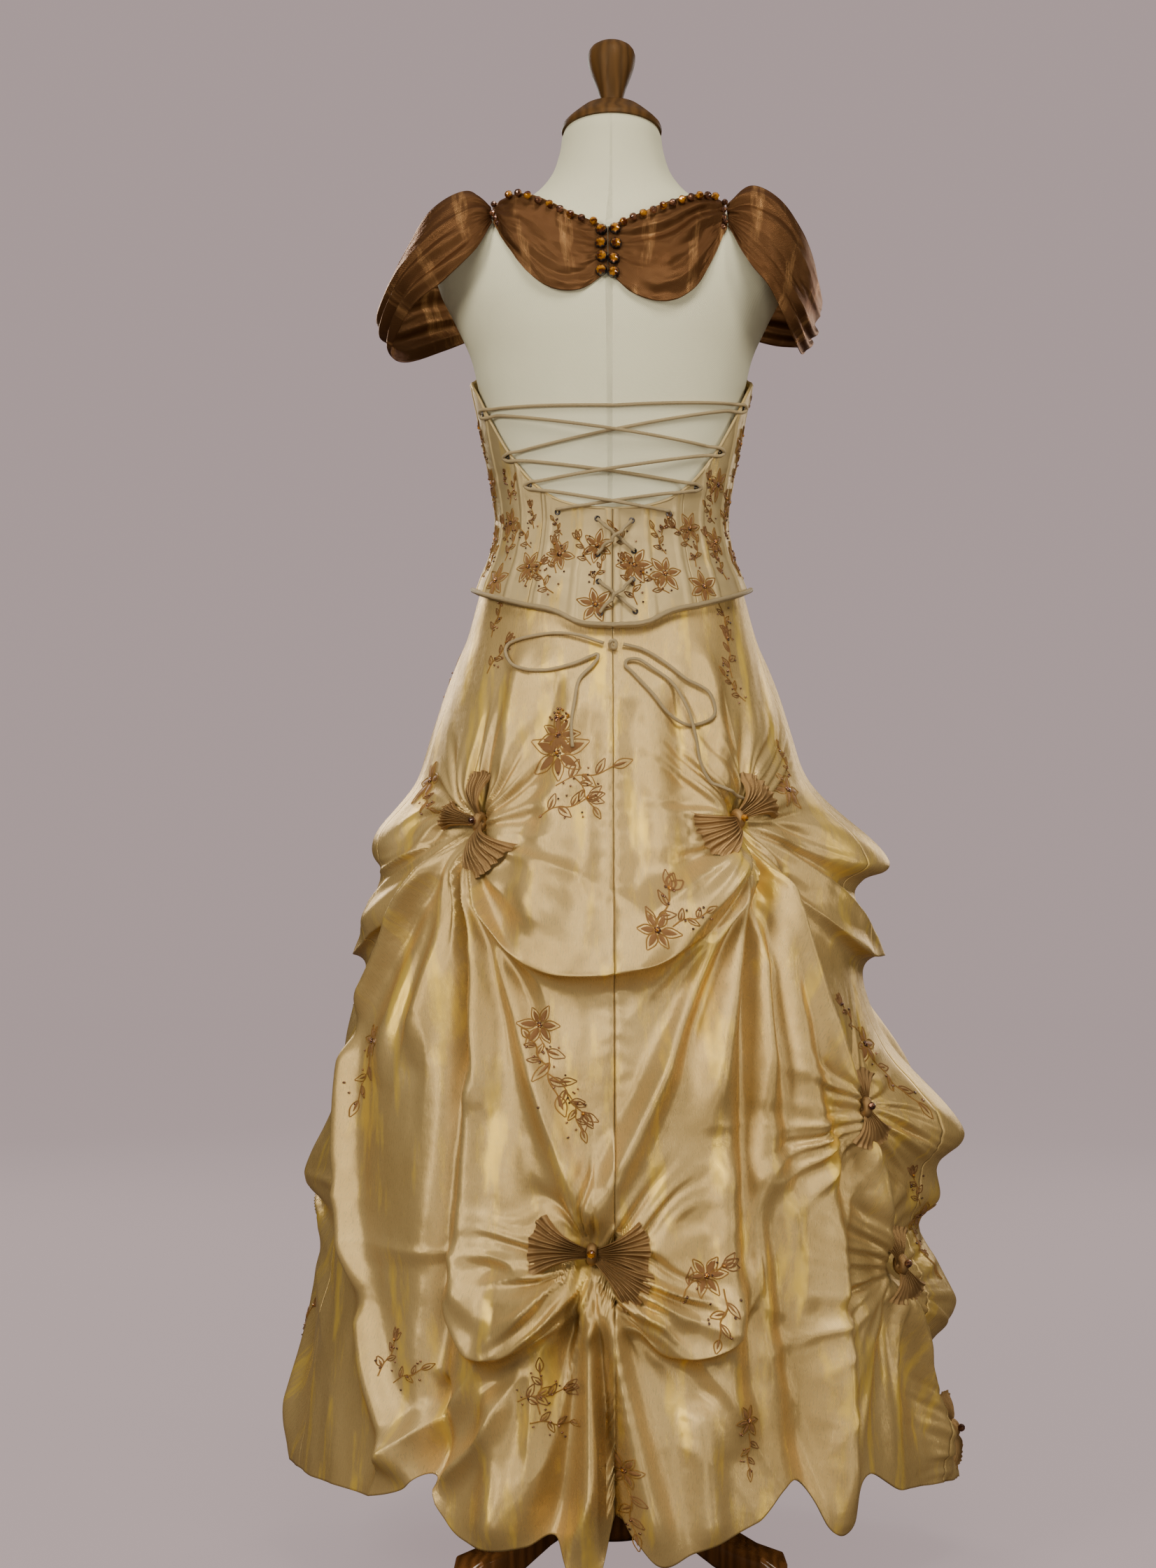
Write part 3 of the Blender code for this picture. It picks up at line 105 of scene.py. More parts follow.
# The bodice's upper and lower edges: turn, height
BODICE_TOP = (
    (0, 1.137), (18, 1.141), (32, 1.152), (43, 1.170), (55, 1.200), (66, 1.234), (78, 1.268),
    (90, 1.281), (105, 1.290), (122, 1.318), (142, 1.338), (160, 1.334), (180, 1.320),
)
BODICE_BOTTOM = (
    (0, 1.006), (14, 1.010), (22, 1.020), (38, 1.029), (62, 1.040), (90, 1.048),
    (115, 1.044), (140, 1.030), (165, 1.004), (180, 0.990),
)
# Bodice seams, as turns, and the names of the panels between them
BODICE_PANELS = (
    ("bodice_back_right", 0, 37), ("bodice_back_side_right", 37, 76),
    ("bodice_side_right", 76, 113), ("bodice_front_side_right", 113, 155),
    ("bodice_front", 155, 205), ("bodice_front_side_left", 205, 247),
    ("bodice_side_left", 247, 284), ("bodice_back_side_left", 284, 323),
    ("bodice_back_left", 323, 360),
)
# The skirt without folds: height, half width, depth to the back, depth to the front
SKIRT_SECTIONS = (
    (0.040, 0.356, 0.356, 0.342),
    (0.109, 0.348, 0.350, 0.335),
    (0.238, 0.328, 0.334, 0.318),
    (0.325, 0.315, 0.322, 0.303),
    (0.430, 0.306, 0.307, 0.285),
    (0.480, 0.302, 0.298, 0.275),
    (0.583, 0.286, 0.277, 0.252),
    (0.640, 0.270, 0.259, 0.232),
    (0.720, 0.243, 0.230, 0.205),
    (0.790, 0.222, 0.203, 0.180),
    (0.842, 0.211, 0.186, 0.165),
    (0.885, 0.200, 0.171, 0.150),
    (0.971, 0.170, 0.135, 0.122),
    (1.000, 0.159, 0.121, 0.112),
    (1.060, 0.141, 0.098, 0.100),
)
FOLD_GAIN = 1.50           # how much deeper the back's folds are than on the solid skirt
FRONT_GAIN = 1.05          # and the front's
FAN_DEPTH = 0.0095         # depth of the folds that fan out below a pick-up
FULLNESS = 1.12            # a gore's cut width over its width at the hem
SKIRT_FLARE = 0.07         # height over which the skirt leaves the form
WAIST_RADIUS = 0.16        # at the skirt's seam, its narrowest place
# The hem's height round the skirt: turn, height
HEM = (
    (-180, 0.086), (-150, 0.094), (-125, 0.088), (-105, 0.104), (-88, 0.108), (-60, 0.112),
    (-40, 0.122), (-35, 0.138), (-31, 0.100), (-24, 0.080), (-15, 0.080), (-10, 0.088),
    (-7, 0.058), (-2.5, 0.054), (0, 0.108), (3, 0.092), (6.5, 0.068), (13, 0.078), (24, 0.102),
    (35, 0.128), (38.5, 0.086), (43, 0.082), (46, 0.114), (60, 0.104), (88, 0.098),
    (110, 0.088), (135, 0.096), (160, 0.080), (180, 0.086),
)
# The skirt's gores: name, first turn, last turn, columns and rows of the mesh
SKIRT_GORES = (
    ("skirt_back_left", -75, 0, 190, 400), ("skirt_back_right", 0, 75, 190, 400),
    ("skirt_side_right", 75, 130, 110, 300), ("skirt_front", 130, 230, 180, 260),
    ("skirt_side_left", 230, 285, 110, 300),
)
# Each pick-up: bow name, turn, height, depth of its dimple, radius of its dimple
PICK_UPS = (
    ("bow_1", -43.5, 0.800, 0.018, 0.026),
    ("bow_2", 40.0, 0.803, 0.018, 0.026),
    ("bow_3", -4.3, 0.367, 0.024, 0.032),
    ("bow_4", 57.0, 0.500, 0.014, 0.026),
    ("bow_5", 66.0, 0.332, 0.012, 0.026),
    ("bow_6", 84.0, 0.140, 0.006, 0.026),
    ("bow_7", -112.0, 0.440, 0.016, 0.030),
    ("bow_8", 140.0, 0.800, 0.016, 0.028),
    ("bow_9", -140.0, 0.800, 0.016, 0.028),
    ("bow_10", 178.0, 0.380, 0.020, 0.032),
)
# Puffs of cloth between the pick-ups: turn, height, out, half width round, half height
PUFFS = (
    (-78, 0.790, 0.044, 0.075, 0.036),
    (-74, 0.718, 0.018, 0.070, 0.026),
    (84, 0.785, 0.078, 0.070, 0.038),
    (80, 0.700, 0.022, 0.080, 0.045),
    (82, 0.492, 0.084, 0.075, 0.052),
    (84, 0.410, 0.040, 0.080, 0.034),
    (88, 0.300, 0.058, 0.090, 0.060),
    (86, 0.110, 0.030, 0.090, 0.060),
    (-92, 0.425, 0.028, 0.060, 0.050),
    (-22, 0.760, 0.014, 0.060, 0.045),
    (18, 0.760, 0.016, 0.060, 0.045),
    (-15, 0.330, 0.020, 0.050, 0.045),
    (9, 0.335, 0.020, 0.050, 0.040),
    (118, 0.775, 0.050, 0.075, 0.045),
    (-118, 0.775, 0.050, 0.075, 0.045),
    (160, 0.760, 0.026, 0.070, 0.050),
    (-160, 0.760, 0.026, 0.070, 0.050),
    (166, 0.345, 0.026, 0.060, 0.045),
    (-168, 0.345, 0.026, 0.060, 0.045),
)
# Swags that hang in a U from one pick-up to the next:
# turn and height of the left end, of the right end, drop of the middle, out, reach above
SWAGS = (
    (-40, 0.760, 38, 0.765, 0.092, 0.046, 0.120),
    (-138, 0.765, -46, 0.760, 0.095, 0.030, 0.070),
    (42, 0.765, 138, 0.765, 0.090, 0.032, 0.080),
    (142, 0.760, 218, 0.760, 0.120, 0.040, 0.110),
    (-35, 0.345, -7, 0.345, 0.065, 0.028, 0.080),
    (-1, 0.345, 30, 0.340, 0.060, 0.026, 0.070),
    (150, 0.350, 177, 0.350, 0.075, 0.020, 0.070),
    (181, 0.350, 210, 0.350, 0.075, 0.020, 0.070),
)
# Folds and troughs, straight from start to end but for a sideways bow in the middle:
# turn and height of the start, of the end, bow, out, width at the start, at the end
FOLDS = (
    (-44.5, 0.785, -70, 0.590, 0.000, 0.018, 0.010, 0.017),
    (-70, 0.590, -56, 0.310, 0.020, 0.016, 0.017, 0.020),
    (-56, 0.310, -38, 0.130, 0.012, 0.014, 0.020, 0.022),
    (-43, 0.780, -56, 0.540, 0.004, 0.009, 0.010, 0.024),
    (-42, 0.780, -45, 0.560, 0.002, 0.011, 0.010, 0.022),
    (-41, 0.780, -36, 0.200, -0.010, -0.017, 0.010, 0.026),
    (-40, 0.780, -27, 0.520, -0.004, 0.012, 0.010, 0.024),
    (-39, 0.780, -5, 0.400, 0.006, 0.015, 0.011, 0.018),
    (-38, 0.770, -16, 0.560, 0.004, -0.010, 0.010, 0.022),
    (37, 0.785, 5, 0.640, 0.010, 0.012, 0.011, 0.018),
    (37, 0.780, -3, 0.410, -0.004, 0.017, 0.011, 0.018),
    (38, 0.780, 13, 0.560, 0.002, -0.012, 0.010, 0.020),
    (39, 0.780, 19, 0.500, 0.000, 0.011, 0.010, 0.022),
    (40, 0.780, 25, 0.240, 0.004, -0.016, 0.010, 0.024),
    (41, 0.780, 33, 0.520, 0.002, 0.011, 0.010, 0.022),
    (41, 0.780, 39, 0.420, 0.000, -0.010, 0.010, 0.022),
    (42, 0.780, 47, 0.400, 0.002, 0.011, 0.010, 0.024),
    (42.5, 0.780, 64, 0.330, 0.004, 0.020, 0.011, 0.018),
    (64, 0.330, 78, 0.120, 0.000, 0.016, 0.018, 0.020),
    (-5, 0.345, -5, 0.050, -0.004, 0.016, 0.012, 0.018),
    (-3, 0.340, 0.5, 0.080, 0.004, -0.018, 0.011, 0.016),
    (-2, 0.345, 8, 0.070, 0.006, 0.014, 0.012, 0.022),
    (-7, 0.340, -11, 0.080, -0.004, -0.014, 0.012, 0.022),
    (-30, 0.560, -31, 0.300, 0.004, 0.012, 0.020, 0.026),
    (22, 0.480, 20, 0.180, 0.000, 0.012, 0.022, 0.026),
    (32, 0.440, 36, 0.130, 0.000, -0.012, 0.020, 0.026),
    (46, 0.420, 42, 0.090, 0.000, 0.016, 0.020, 0.018),
    (-22, 0.240, -20, 0.080, 0.000, 0.012, 0.020, 0.026),
    (14, 0.230, 16, 0.080, 0.000, 0.010, 0.020, 0.024),
    (-34, 0.240, -34, 0.120, 0.000, -0.018, 0.018, 0.018),
    (-20, 0.980, -25, 0.700, 0.004, -0.007, 0.016, 0.022),
    (-35, 1.000, -33, 0.840, 0.004, 0.006, 0.012, 0.018),
    (24, 0.960, 21, 0.720, 0.004, -0.007, 0.016, 0.024),
    (36, 1.000, 33, 0.840, -0.004, 0.006, 0.012, 0.016),
    (6, 0.940, 7, 0.700, 0.000, -0.006, 0.018, 0.022),
    (-8, 0.930, -8, 0.690, 0.000, -0.006, 0.018, 0.022),
    (100, 0.620, 104, 0.110, 0.000, 0.018, 0.026, 0.034),
    (118, 0.560, 120, 0.100, 0.000, -0.016, 0.026, 0.034),
    (132, 0.600, 130, 0.100, 0.000, 0.018, 0.026, 0.034),
    (140, 0.775, 112, 0.480, 0.000, 0.014, 0.014, 0.030),
    (140, 0.775, 146, 0.420, 0.000, -0.014, 0.014, 0.030),
    (140, 0.775, 174, 0.430, 0.000, 0.016, 0.014, 0.026),
    (-140, 0.775, -112, 0.480, 0.000, 0.014, 0.014, 0.030),
    (220, 0.775, 214, 0.420, 0.000, -0.014, 0.014, 0.030),
    (220, 0.775, 184, 0.430, 0.000, 0.016, 0.014, 0.026),
    (178, 0.355, 172, 0.090, 0.000, 0.020, 0.018, 0.028),
    (178, 0.355, 184, 0.090, 0.000, 0.018, 0.018, 0.028),
    (154, 0.330, 152, 0.100, 0.000, 0.016, 0.026, 0.032),
    (206, 0.330, 208, 0.100, 0.000, 0.016, 0.026, 0.032),
    (-112, 0.420, -118, 0.110, 0.000, 0.018, 0.020, 0.034),
    (-112, 0.420, -98, 0.110, 0.000, -0.014, 0.020, 0.034),
    (-112, 0.420, -84, 0.120, 0.000, 0.014, 0.020, 0.032),
    (-130, 0.600, -134, 0.100, 0.000, 0.016, 0.026, 0.034),
)
# The stand
POLE_RADIUS = 0.016
HUB_RADIUS = 0.052
HUB_BOTTOM = 0.018
HUB_TOP = 0.125
LEG_TURNS = (48.0, 138.0, 228.0, 318.0)
LEG_HALF_WIDTH = 0.024
# A leg's course: distance from the axis, height of its underside, height of its top
LEG_COURSE = (
    (HUB_RADIUS + SEAM_GAP, 0.034, 0.104), (0.080, 0.040, 0.094), (0.120, 0.028, 0.068),
    (0.160, 0.010, 0.044), (0.190, 0.000, 0.035), (0.225, 0.000, 0.031), (0.238, 0.000, 0.020),
)
# The bertha's edges: x, y, height along the upper edge, x, y, height along the lower edge
BACK_SWAG_LEFT = (
    (-0.00525, -0.088, 1.438, -0.00525, -0.100, 1.388),
    (-0.040, -0.086, 1.452, -0.035, -0.103, 1.369),
    (-0.070, -0.079, 1.468, -0.066, -0.101, 1.371),
    (-0.098, -0.066, 1.477, -0.092, -0.094, 1.390),
    (-0.122, -0.050, 1.472, -0.112, -0.082, 1.418),
    (-0.130, -0.044, 1.468, -0.128, -0.064, 1.448),
)
BACK_SWAG_RIGHT = (
    (-0.00475, -0.088, 1.438, -0.00475, -0.100, 1.388),
    (0.028, -0.086, 1.452, 0.022, -0.104, 1.364),
    (0.060, -0.080, 1.466, 0.058, -0.104, 1.356),
    (0.088, -0.068, 1.476, 0.088, -0.098, 1.372),
    (0.112, -0.052, 1.476, 0.108, -0.086, 1.406),
    (0.122, -0.046, 1.470, 0.124, -0.066, 1.444),
)
SHOULDER_LEFT = (
    (-0.1315, -0.044, 1.468, -0.1295, -0.064, 1.448),
    (-0.158, -0.050, 1.484, -0.148, -0.088, 1.412),
    (-0.196, -0.054, 1.462, -0.178, -0.094, 1.382),
    (-0.224, -0.040, 1.418, -0.214, -0.074, 1.356),
    (-0.246, -0.006, 1.378, -0.236, -0.014, 1.320),
    (-0.240, 0.046, 1.386, -0.224, 0.044, 1.312),
    (-0.206, 0.088, 1.404, -0.186, 0.092, 1.330),
    (-0.158, 0.106, 1.400, -0.140, 0.122, 1.352),
    (-0.120, 0.114, 1.390, -0.112, 0.126, 1.360),
)
SHOULDER_RIGHT = (
    (0.1235, -0.046, 1.470, 0.1255, -0.066, 1.444),
    (0.150, -0.050, 1.490, 0.146, -0.090, 1.400),
    (0.180, -0.054, 1.474, 0.168, -0.094, 1.370),
    (0.206, -0.042, 1.438, 0.190, -0.076, 1.330),
    (0.222, -0.006, 1.400, 0.205, -0.020, 1.312),
    (0.220, 0.046, 1.396, 0.212, 0.040, 1.326),
    (0.200, 0.088, 1.404, 0.182, 0.092, 1.336),
    (0.156, 0.106, 1.400, 0.138, 0.122, 1.352),
    (0.120, 0.114, 1.390, 0.112, 0.126, 1.360),
)
FRONT_SWAG = (
    (0.1195, 0.114, 1.390, 0.1115, 0.126, 1.360),
    (0.090, 0.122, 1.378, 0.084, 0.136, 1.334),
    (0.056, 0.130, 1.368, 0.052, 0.142, 1.320),
    (0.024, 0.134, 1.368, 0.022, 0.144, 1.326),
    (0.0004, 0.134, 1.374, 0.0004, 0.142, 1.344),
)

# Eyelets: turn and height, down the left edge, down the right edge, and the inner pairs
EYES_LEFT = ((-72, 1.246), (-56, 1.196), (-43.5, 1.164), (-28, 1.134))
EYES_RIGHT = ((74, 1.252), (58, 1.202), (44.5, 1.162), (29, 1.132))
INNER_LEFT = ((-7.5, 1.126), (-7.0, 1.086), (-6.0, 1.056), (-5.0, 1.022))
INNER_RIGHT = ((9.5, 1.124), (10.0, 1.090), (8.5, 1.058), (9.0, 1.024))
EYE_REACH = 0.003          # half the height of the cord's turn at an eyelet
LACE_LIFT = LACE_RADIUS + 0.0005
LACE_OVER = 2 * LACE_RADIUS + 0.0030

# The bow of the lacing cord: turn, height, extra lift above the cloth
LACE_KNOT = (0.3, 0.988)
LOOP_LEFT = (
    (-4.6, 0.990, 0.002), (-20, 1.000, 0.002), (-38, 1.000, 0.0), (-51, 0.988, 0.0),
    (-42, 0.967, 0.0), (-30, 0.962, 0.0), (-18, 0.968, 0.001), (-6.5, 0.977, 0.002),
    (-8.5, 0.968, 0.002), (-14, 0.952, 0.0), (-15, 0.930, 0.0), (-15.5, 0.903, 0.0),
    (-14.5, 0.880, 0.0),
)
LOOP_RIGHT = (
    (5.2, 0.989, 0.002), (14, 0.984, 0.001), (23, 0.970, 0.001), (30, 0.954, 0.0),
    (37.5, 0.937, 0.0), (37, 0.914, 0.0), (29, 0.903, 0.0), (21, 0.916, 0.0),
    (15.5, 0.937, 0.0), (9.5, 0.956, 0.0), (5.5, 0.970, 0.001), (9.0, 0.973, 0.002),
    (18, 0.962, 0.001), (26, 0.943, 0.001), (29.5, 0.922, 0.005), (29.5, 0.886, 0.005),
    (29.5, 0.862, 0.0), (32, 0.845, 0.0), (38.5, 0.832, 0.0), (47, 0.822, 0.0),
)

# Each bow's lobes: direction in degrees from +x as seen, length, half width at the tip
BOW_LOBES = {
    "bow_1": ((98, 0.050, 0.017), (172, 0.046, 0.016), (-50, 0.066, 0.036)),
    "bow_2": ((204, 0.058, 0.036), (38, 0.052, 0.038)),
    "bow_3": ((172, 0.060, 0.036), (5, 0.056, 0.030), (-38, 0.066, 0.024)),
    "bow_4": ((104, 0.038, 0.034), (-74, 0.040, 0.034)),
    "bow_5": ((104, 0.038, 0.034), (-74, 0.040, 0.034)),
    "bow_6": ((104, 0.038, 0.034), (-74, 0.040, 0.034)),
    "bow_7": ((170, 0.054, 0.032), (10, 0.054, 0.032)),
    "bow_8": ((160, 0.054, 0.034), (-30, 0.058, 0.034)),
    "bow_9": ((205, 0.056, 0.034), (25, 0.052, 0.034)),
    "bow_10": ((175, 0.058, 0.034), (8, 0.056, 0.032)),
}
KNOT_TOP = 0.0195          # how far a bow's bead lies off the cloth
# The side rosettes: the turn that they face, and how far they stand out of their dimples
ROSETTES = {"bow_4": (32.0, 0.024), "bow_5": (38.0, 0.015), "bow_6": (64.0, 0.005)}


def ease(low, high, value):
    """A smooth step from 0 at low to 1 at high."""
    share = np.clip((value - low) / (high - low), 0.0, 1.0)
    return share * share * (3.0 - 2.0 * share)


def through(table, column, where):
    """A smooth curve through one column of a table, read against its first column."""
    rows = np.array(table, float)
    xs, ys = rows[:, 0], rows[:, column]
    slopes = np.gradient(ys, xs)
    where = np.clip(np.asarray(where, float), xs[0], xs[-1])
    i = np.clip(np.searchsorted(xs, where) - 1, 0, len(xs) - 2)
    step = xs[i + 1] - xs[i]
    t = (where - xs[i]) / step
    start, end = ys[i], ys[i + 1]
    pull_start, pull_end = slopes[i] * step, slopes[i + 1] * step
    return ((2 * t**3 - 3 * t**2 + 1) * start + (t**3 - 2 * t**2 + t) * pull_start
            + (3 * t**2 - 2 * t**3) * end + (t**3 - t**2) * pull_end)


def ripple(u, v, seed):
    """Smooth random values from -1 to 1 over a plane whose cells are one unit."""
    table = np.random.default_rng(seed).uniform(-1, 1, (64, 64))
    i, j = np.floor(u).astype(int), np.floor(v).astype(int)
    s, t = u - i, v - j
    s, t = s * s * (3 - 2 * s), t * t * (3 - 2 * t)

    def at(a, b):
        return table[(i + a) % 64, (j + b) % 64]
    top = at(0, 0) * (1 - s) + at(1, 0) * s
    low = at(0, 1) * (1 - s) + at(1, 1) * s
    return top * (1 - t) + low * t


def about_centre(turn):
    """A turn brought into the range -180 to 180."""
    return (np.asarray(turn, float) + 180.0) % 360.0 - 180.0


def ring_point(table, turn, height):
    """A point on an upright form whose sections are half ellipses, back and front."""
    angle = np.radians(turn)
    width = through(table, 1, height)
    depth = np.where(np.cos(angle) > 0, through(table, 2, height), through(table, 3, height))
    x = width * np.sin(angle)
    y = -depth * np.cos(angle)
    return np.stack([x, y, height + 0.0 * x], axis=-1)


def form_point(turn, height):
    """The dress form's surface, with the neck's top tilted forward."""
    point = ring_point(FORM_SECTIONS, turn, height)
    tilt = ease(NECK_START, NECK_TOP, point[..., 2]) * math.tan(NECK_TILT)
    point[..., 2] = point[..., 2] - point[..., 1] * tilt
    return point


def outward(surface, turn, height):
    """The outward normal of a surface given as a function of turn and height."""
    turn, height = np.broadcast_arrays(np.asarray(turn, float), np.asarray(height, float))
    across = surface(turn + 1.0, height) - surface(turn - 1.0, height)
    upward = surface(turn, height + 0.004) - surface(turn, height - 0.004)
    normal = np.cross(across, upward)
    return normal / np.linalg.norm(normal, axis=-1, keepdims=True)


def off_form(turn, height, gap):
    """A point lying a gap off the dress form."""
    gap = np.asarray(gap, float)[..., None]
    return form_point(turn, height) + outward(form_point, turn, height) * gap


def bodice_ease(turn, height):
    """How far the bodice's inside stands off the form."""
    side = np.abs(about_centre(turn))
    over_skirt = 1.0 - ease(0.016, 0.045, height - through(BODICE_BOTTOM, 1, side))
    at_bust = ease(0.10, 0.03, through(BODICE_TOP, 1, side) - height) * ease(85, 115, side)
    gap = BODICE_EASE + (BODICE_LOWER_EASE - BODICE_EASE) * over_skirt
    return gap + (BUST_CLEARANCE - gap) * at_bust


def skirt_reach(turn, height):
    """How far round the skirt a turn lies from the centre back, in metres."""
    return np.radians(turn) * through(SKIRT_SECTIONS, 1, height)


def swag_line(share, high, right_high, drop):
    """The height of a swag's lip, steeper from its left end than from its right."""
    hang = np.sin(np.pi * share) + 0.09 * np.sin(2 * np.pi * share)
    return high + (right_high - high) * share - drop * hang


def swag_share(turn, start, end):
    """How far along a swag a turn lies, from 0 at its start to 1 at its end."""
    middle = (start + end) / 2
    return np.clip((about_centre(turn - middle) + middle - start) / (end - start), 0.0, 1.0)


def fold_out(turn, height):
    """How far the folds, puffs, swags and pick-ups push the cloth out."""
    turn = about_centre(turn)
    width = through(SKIRT_SECTIONS, 1, height)
    out = np.zeros(np.broadcast(turn, height).shape)
    gain = FOLD_GAIN + (FRONT_GAIN - FOLD_GAIN) * ease(90, 125, np.abs(turn))
    for start, high, end, low, bow, size, narrow, wide in FOLDS:
        turn_in = about_centre(turn - (start + end) / 2) + (start + end) / 2
        along_x = skirt_reach(end, low) - skirt_reach(start, high)
        along_z = low - high
        length = math.hypot(along_x, along_z)
        from_x = np.radians(turn_in) * width - skirt_reach(start, high)
        from_z = height - high
        share = (from_x * along_x + from_z * along_z) / length**2
        aside = (from_x * along_z - from_z * along_x) / length
        inside = np.clip(share, 0.0, 1.0)
        aside = aside - bow * 4 * inside * (1 - inside)
        past = (share - inside) * length
        spread = narrow + (wide - narrow) * inside
        fade = ease(-0.02, 0.16, share) * (1 - ease(0.82, 1.12, share))
        out = out + gain * size * fade * np.exp(-(aside**2 + past**2) / (0.85 * spread)**2)
    for centre, middle, size, across, tall in PUFFS:
        round_x = np.radians(about_centre(turn - centre)) * width / across
        up = (height - middle) / tall
        out = out + size * np.exp(-round_x**2 - up**2)
    for start, high, end, right_high, drop, size, reach in SWAGS:
        share = swag_share(turn, start, end)
        line = swag_line(share, high, right_high, drop)
        above = (height - line) / reach
        body = np.where(above > 0, np.exp(-(above * 1.7)**2), np.exp(-(above * 4.2)**2))
        uneven = 1.0 + 0.40 * ripple(share * 5 + 3, above * 1.5 + 30, 71)
        nested = 0.24 * np.cos(9.0 * above + 5 * share) * np.exp(-((above - 0.4) / 0.4)**2)
        nested = nested * np.abs(2 * share - 1)**0.5
        out = out + size * np.sin(np.pi * share)**0.7 * (body * uneven + nested)
    for _, centre, middle, depth, radius in PICK_UPS:
        round_x = np.radians(about_centre(turn - centre)) * width
        up = height - middle
        out = out - depth * np.exp(-(round_x**2 + up**2) / radius**2)
    return out


def skirt_point(turn, height):
    """The skirt's outer surface."""
    turn, height = np.broadcast_arrays(np.asarray(turn, float), np.asarray(height, float))
    edge = through(BODICE_BOTTOM, 1, np.abs(about_centre(turn)))
    below = np.clip((edge - height) / SKIRT_FLARE, 0.0, 1.0)
    free = (1 - (1 - below)**2)[..., None]
    waist = off_form(turn, np.maximum(height, 0.80), WAIST_CLEARANCE + SKIRT_WALL + 0.0 * height)
    waist[..., 2] = height
    full = ring_point(SKIRT_SECTIONS, turn, height)
    point = waist * (1 - free) + full * free
    angle = np.radians(turn)
    direction = np.stack([np.sin(angle), -np.cos(angle), 0.0 * angle], axis=-1)
    loose = ease(0.01, 0.09, edge - height)
    return point + direction * (fold_out(turn, height) * loose)[..., None]


def lay(surface, turn, height, lift, reach=0.60):
    """A point laid on the outer faces, seen from outside at a turn and a height."""
    angle = math.radians(turn)
    direction = Vector((math.sin(angle), -math.cos(angle), 0.0))
    start = Vector((0.0, 0.0, height)) + direction * reach
    hit, normal, _, _ = surface.ray_cast(start, -direction)
    return hit + (normal + direction).normalized() * lift


def keep_off(surface, points, distance):
    """A route moved out until its points and stretches lie at least a distance off."""
    clear = [Vector(point) for point in points]
    for _ in range(10):
        moves = [Vector() for _ in clear]
        for k in range(len(clear) - 1):
            for share in (0.0, 0.25, 0.5, 0.75, 1.0):
                point = clear[k].lerp(clear[k + 1], share)
                _, normal, _, free = surface.find_nearest(point)
                short = distance - free
                level = Vector((point.x, point.y, 0.0))
                way = (normal + level.normalized()).normalized()
                hit = surface.ray_cast(point + level.normalized() * 0.3, -level.normalized())[0]
                if hit and hit.xy.length > level.length:
                    short = hit.xy.length - level.length + distance
                    way = level.normalized()
                for end, weight in ((k, 1.0 - share), (k + 1, share)):
                    if short > 0 and weight > 0 and short > moves[end].length:
                        moves[end] = way * short
        if not any(move.length > 0 for move in moves):
            break
        clear = [point + move for point, move in zip(clear, moves)]
    return clear


def smooth_path(points, count):
    """Points at even steps along a smooth curve through some points."""
    knots = np.array([tuple(point) for point in points], float)
    steps = np.linalg.norm(np.diff(knots, axis=0), axis=1)
    along = np.concatenate([[0.0], np.cumsum(steps)])
    fine = np.linspace(0.0, along[-1], 40 * len(points))
    table = np.column_stack([along, knots])
    dense = np.column_stack([through(table, column, fine) for column in (1, 2, 3)])
    steps = np.linalg.norm(np.diff(dense, axis=0), axis=1)
    length = np.concatenate([[0.0], np.cumsum(steps)])
    even = np.linspace(0.0, length[-1], count)
    return [tuple(np.interp(even, length, dense[:, k])[n] for k in range(3)) for n in range(count)]


def form_gap(point):
    """How far a point lies off the dress form, and the way out from it."""
    def depth(p):
        width = through(FORM_SECTIONS, 1, p[..., 2])
        back = through(FORM_SECTIONS, 2, p[..., 2])
        front = through(FORM_SECTIONS, 3, p[..., 2])
        deep = np.where(p[..., 1] < 0, back, front)
        return np.sqrt((p[..., 0] / width)**2 + (p[..., 1] / deep)**2) - 1.0
    step = 0.0005
    slope = np.stack([(depth(point + step * axis) - depth(point - step * axis)) / (2 * step)
                      for axis in np.eye(3)], axis=-1)
    steep = np.linalg.norm(slope, axis=-1)
    return depth(point) / steep, slope / steep[..., None]


def clear_of_form(points, gap):
    """The points, each moved out where it would lie nearer the form than the gap."""
    points = points.copy()
    for _ in range(6):
        distance, way = form_gap(points)
        short = np.maximum(gap - distance, 0.0)
        points = points + way * short[..., None]
    return points


def lace_point(turn, height, lift):
    """A point off the linen or, from just before the bodice's edge, off the bodice."""
    side = np.abs(about_centre(turn))
    sewn = ease(-0.012, -0.002, through(BODICE_TOP, 1, side) - height)[..., None]
    over_seam = (lift + 0.0006)[..., None]
    bodice = bodice_cloth(turn, height) + outward(bodice_cloth, turn, height) * over_seam
    return off_form(turn, height, lift) * (1 - sewn) + bodice * sewn


def strand(start, end, over):
    """A stretch of lacing that looks straight from behind, raised in its middle."""
    share = np.linspace(0, 1, 22)
    height = start[1] + (end[1] - start[1]) * share
    first, last = (float(through(FORM_SECTIONS, 1, high)) * math.sin(math.radians(turn))
                   for turn, high in (start, end))
    aside = first + (last - first) * share
    turn = np.degrees(np.arcsin(aside / through(FORM_SECTIONS, 1, height)))
    return list(lace_point(turn, height, LACE_LIFT + over * np.exp(-((share - 0.5) / 0.28)**2)))


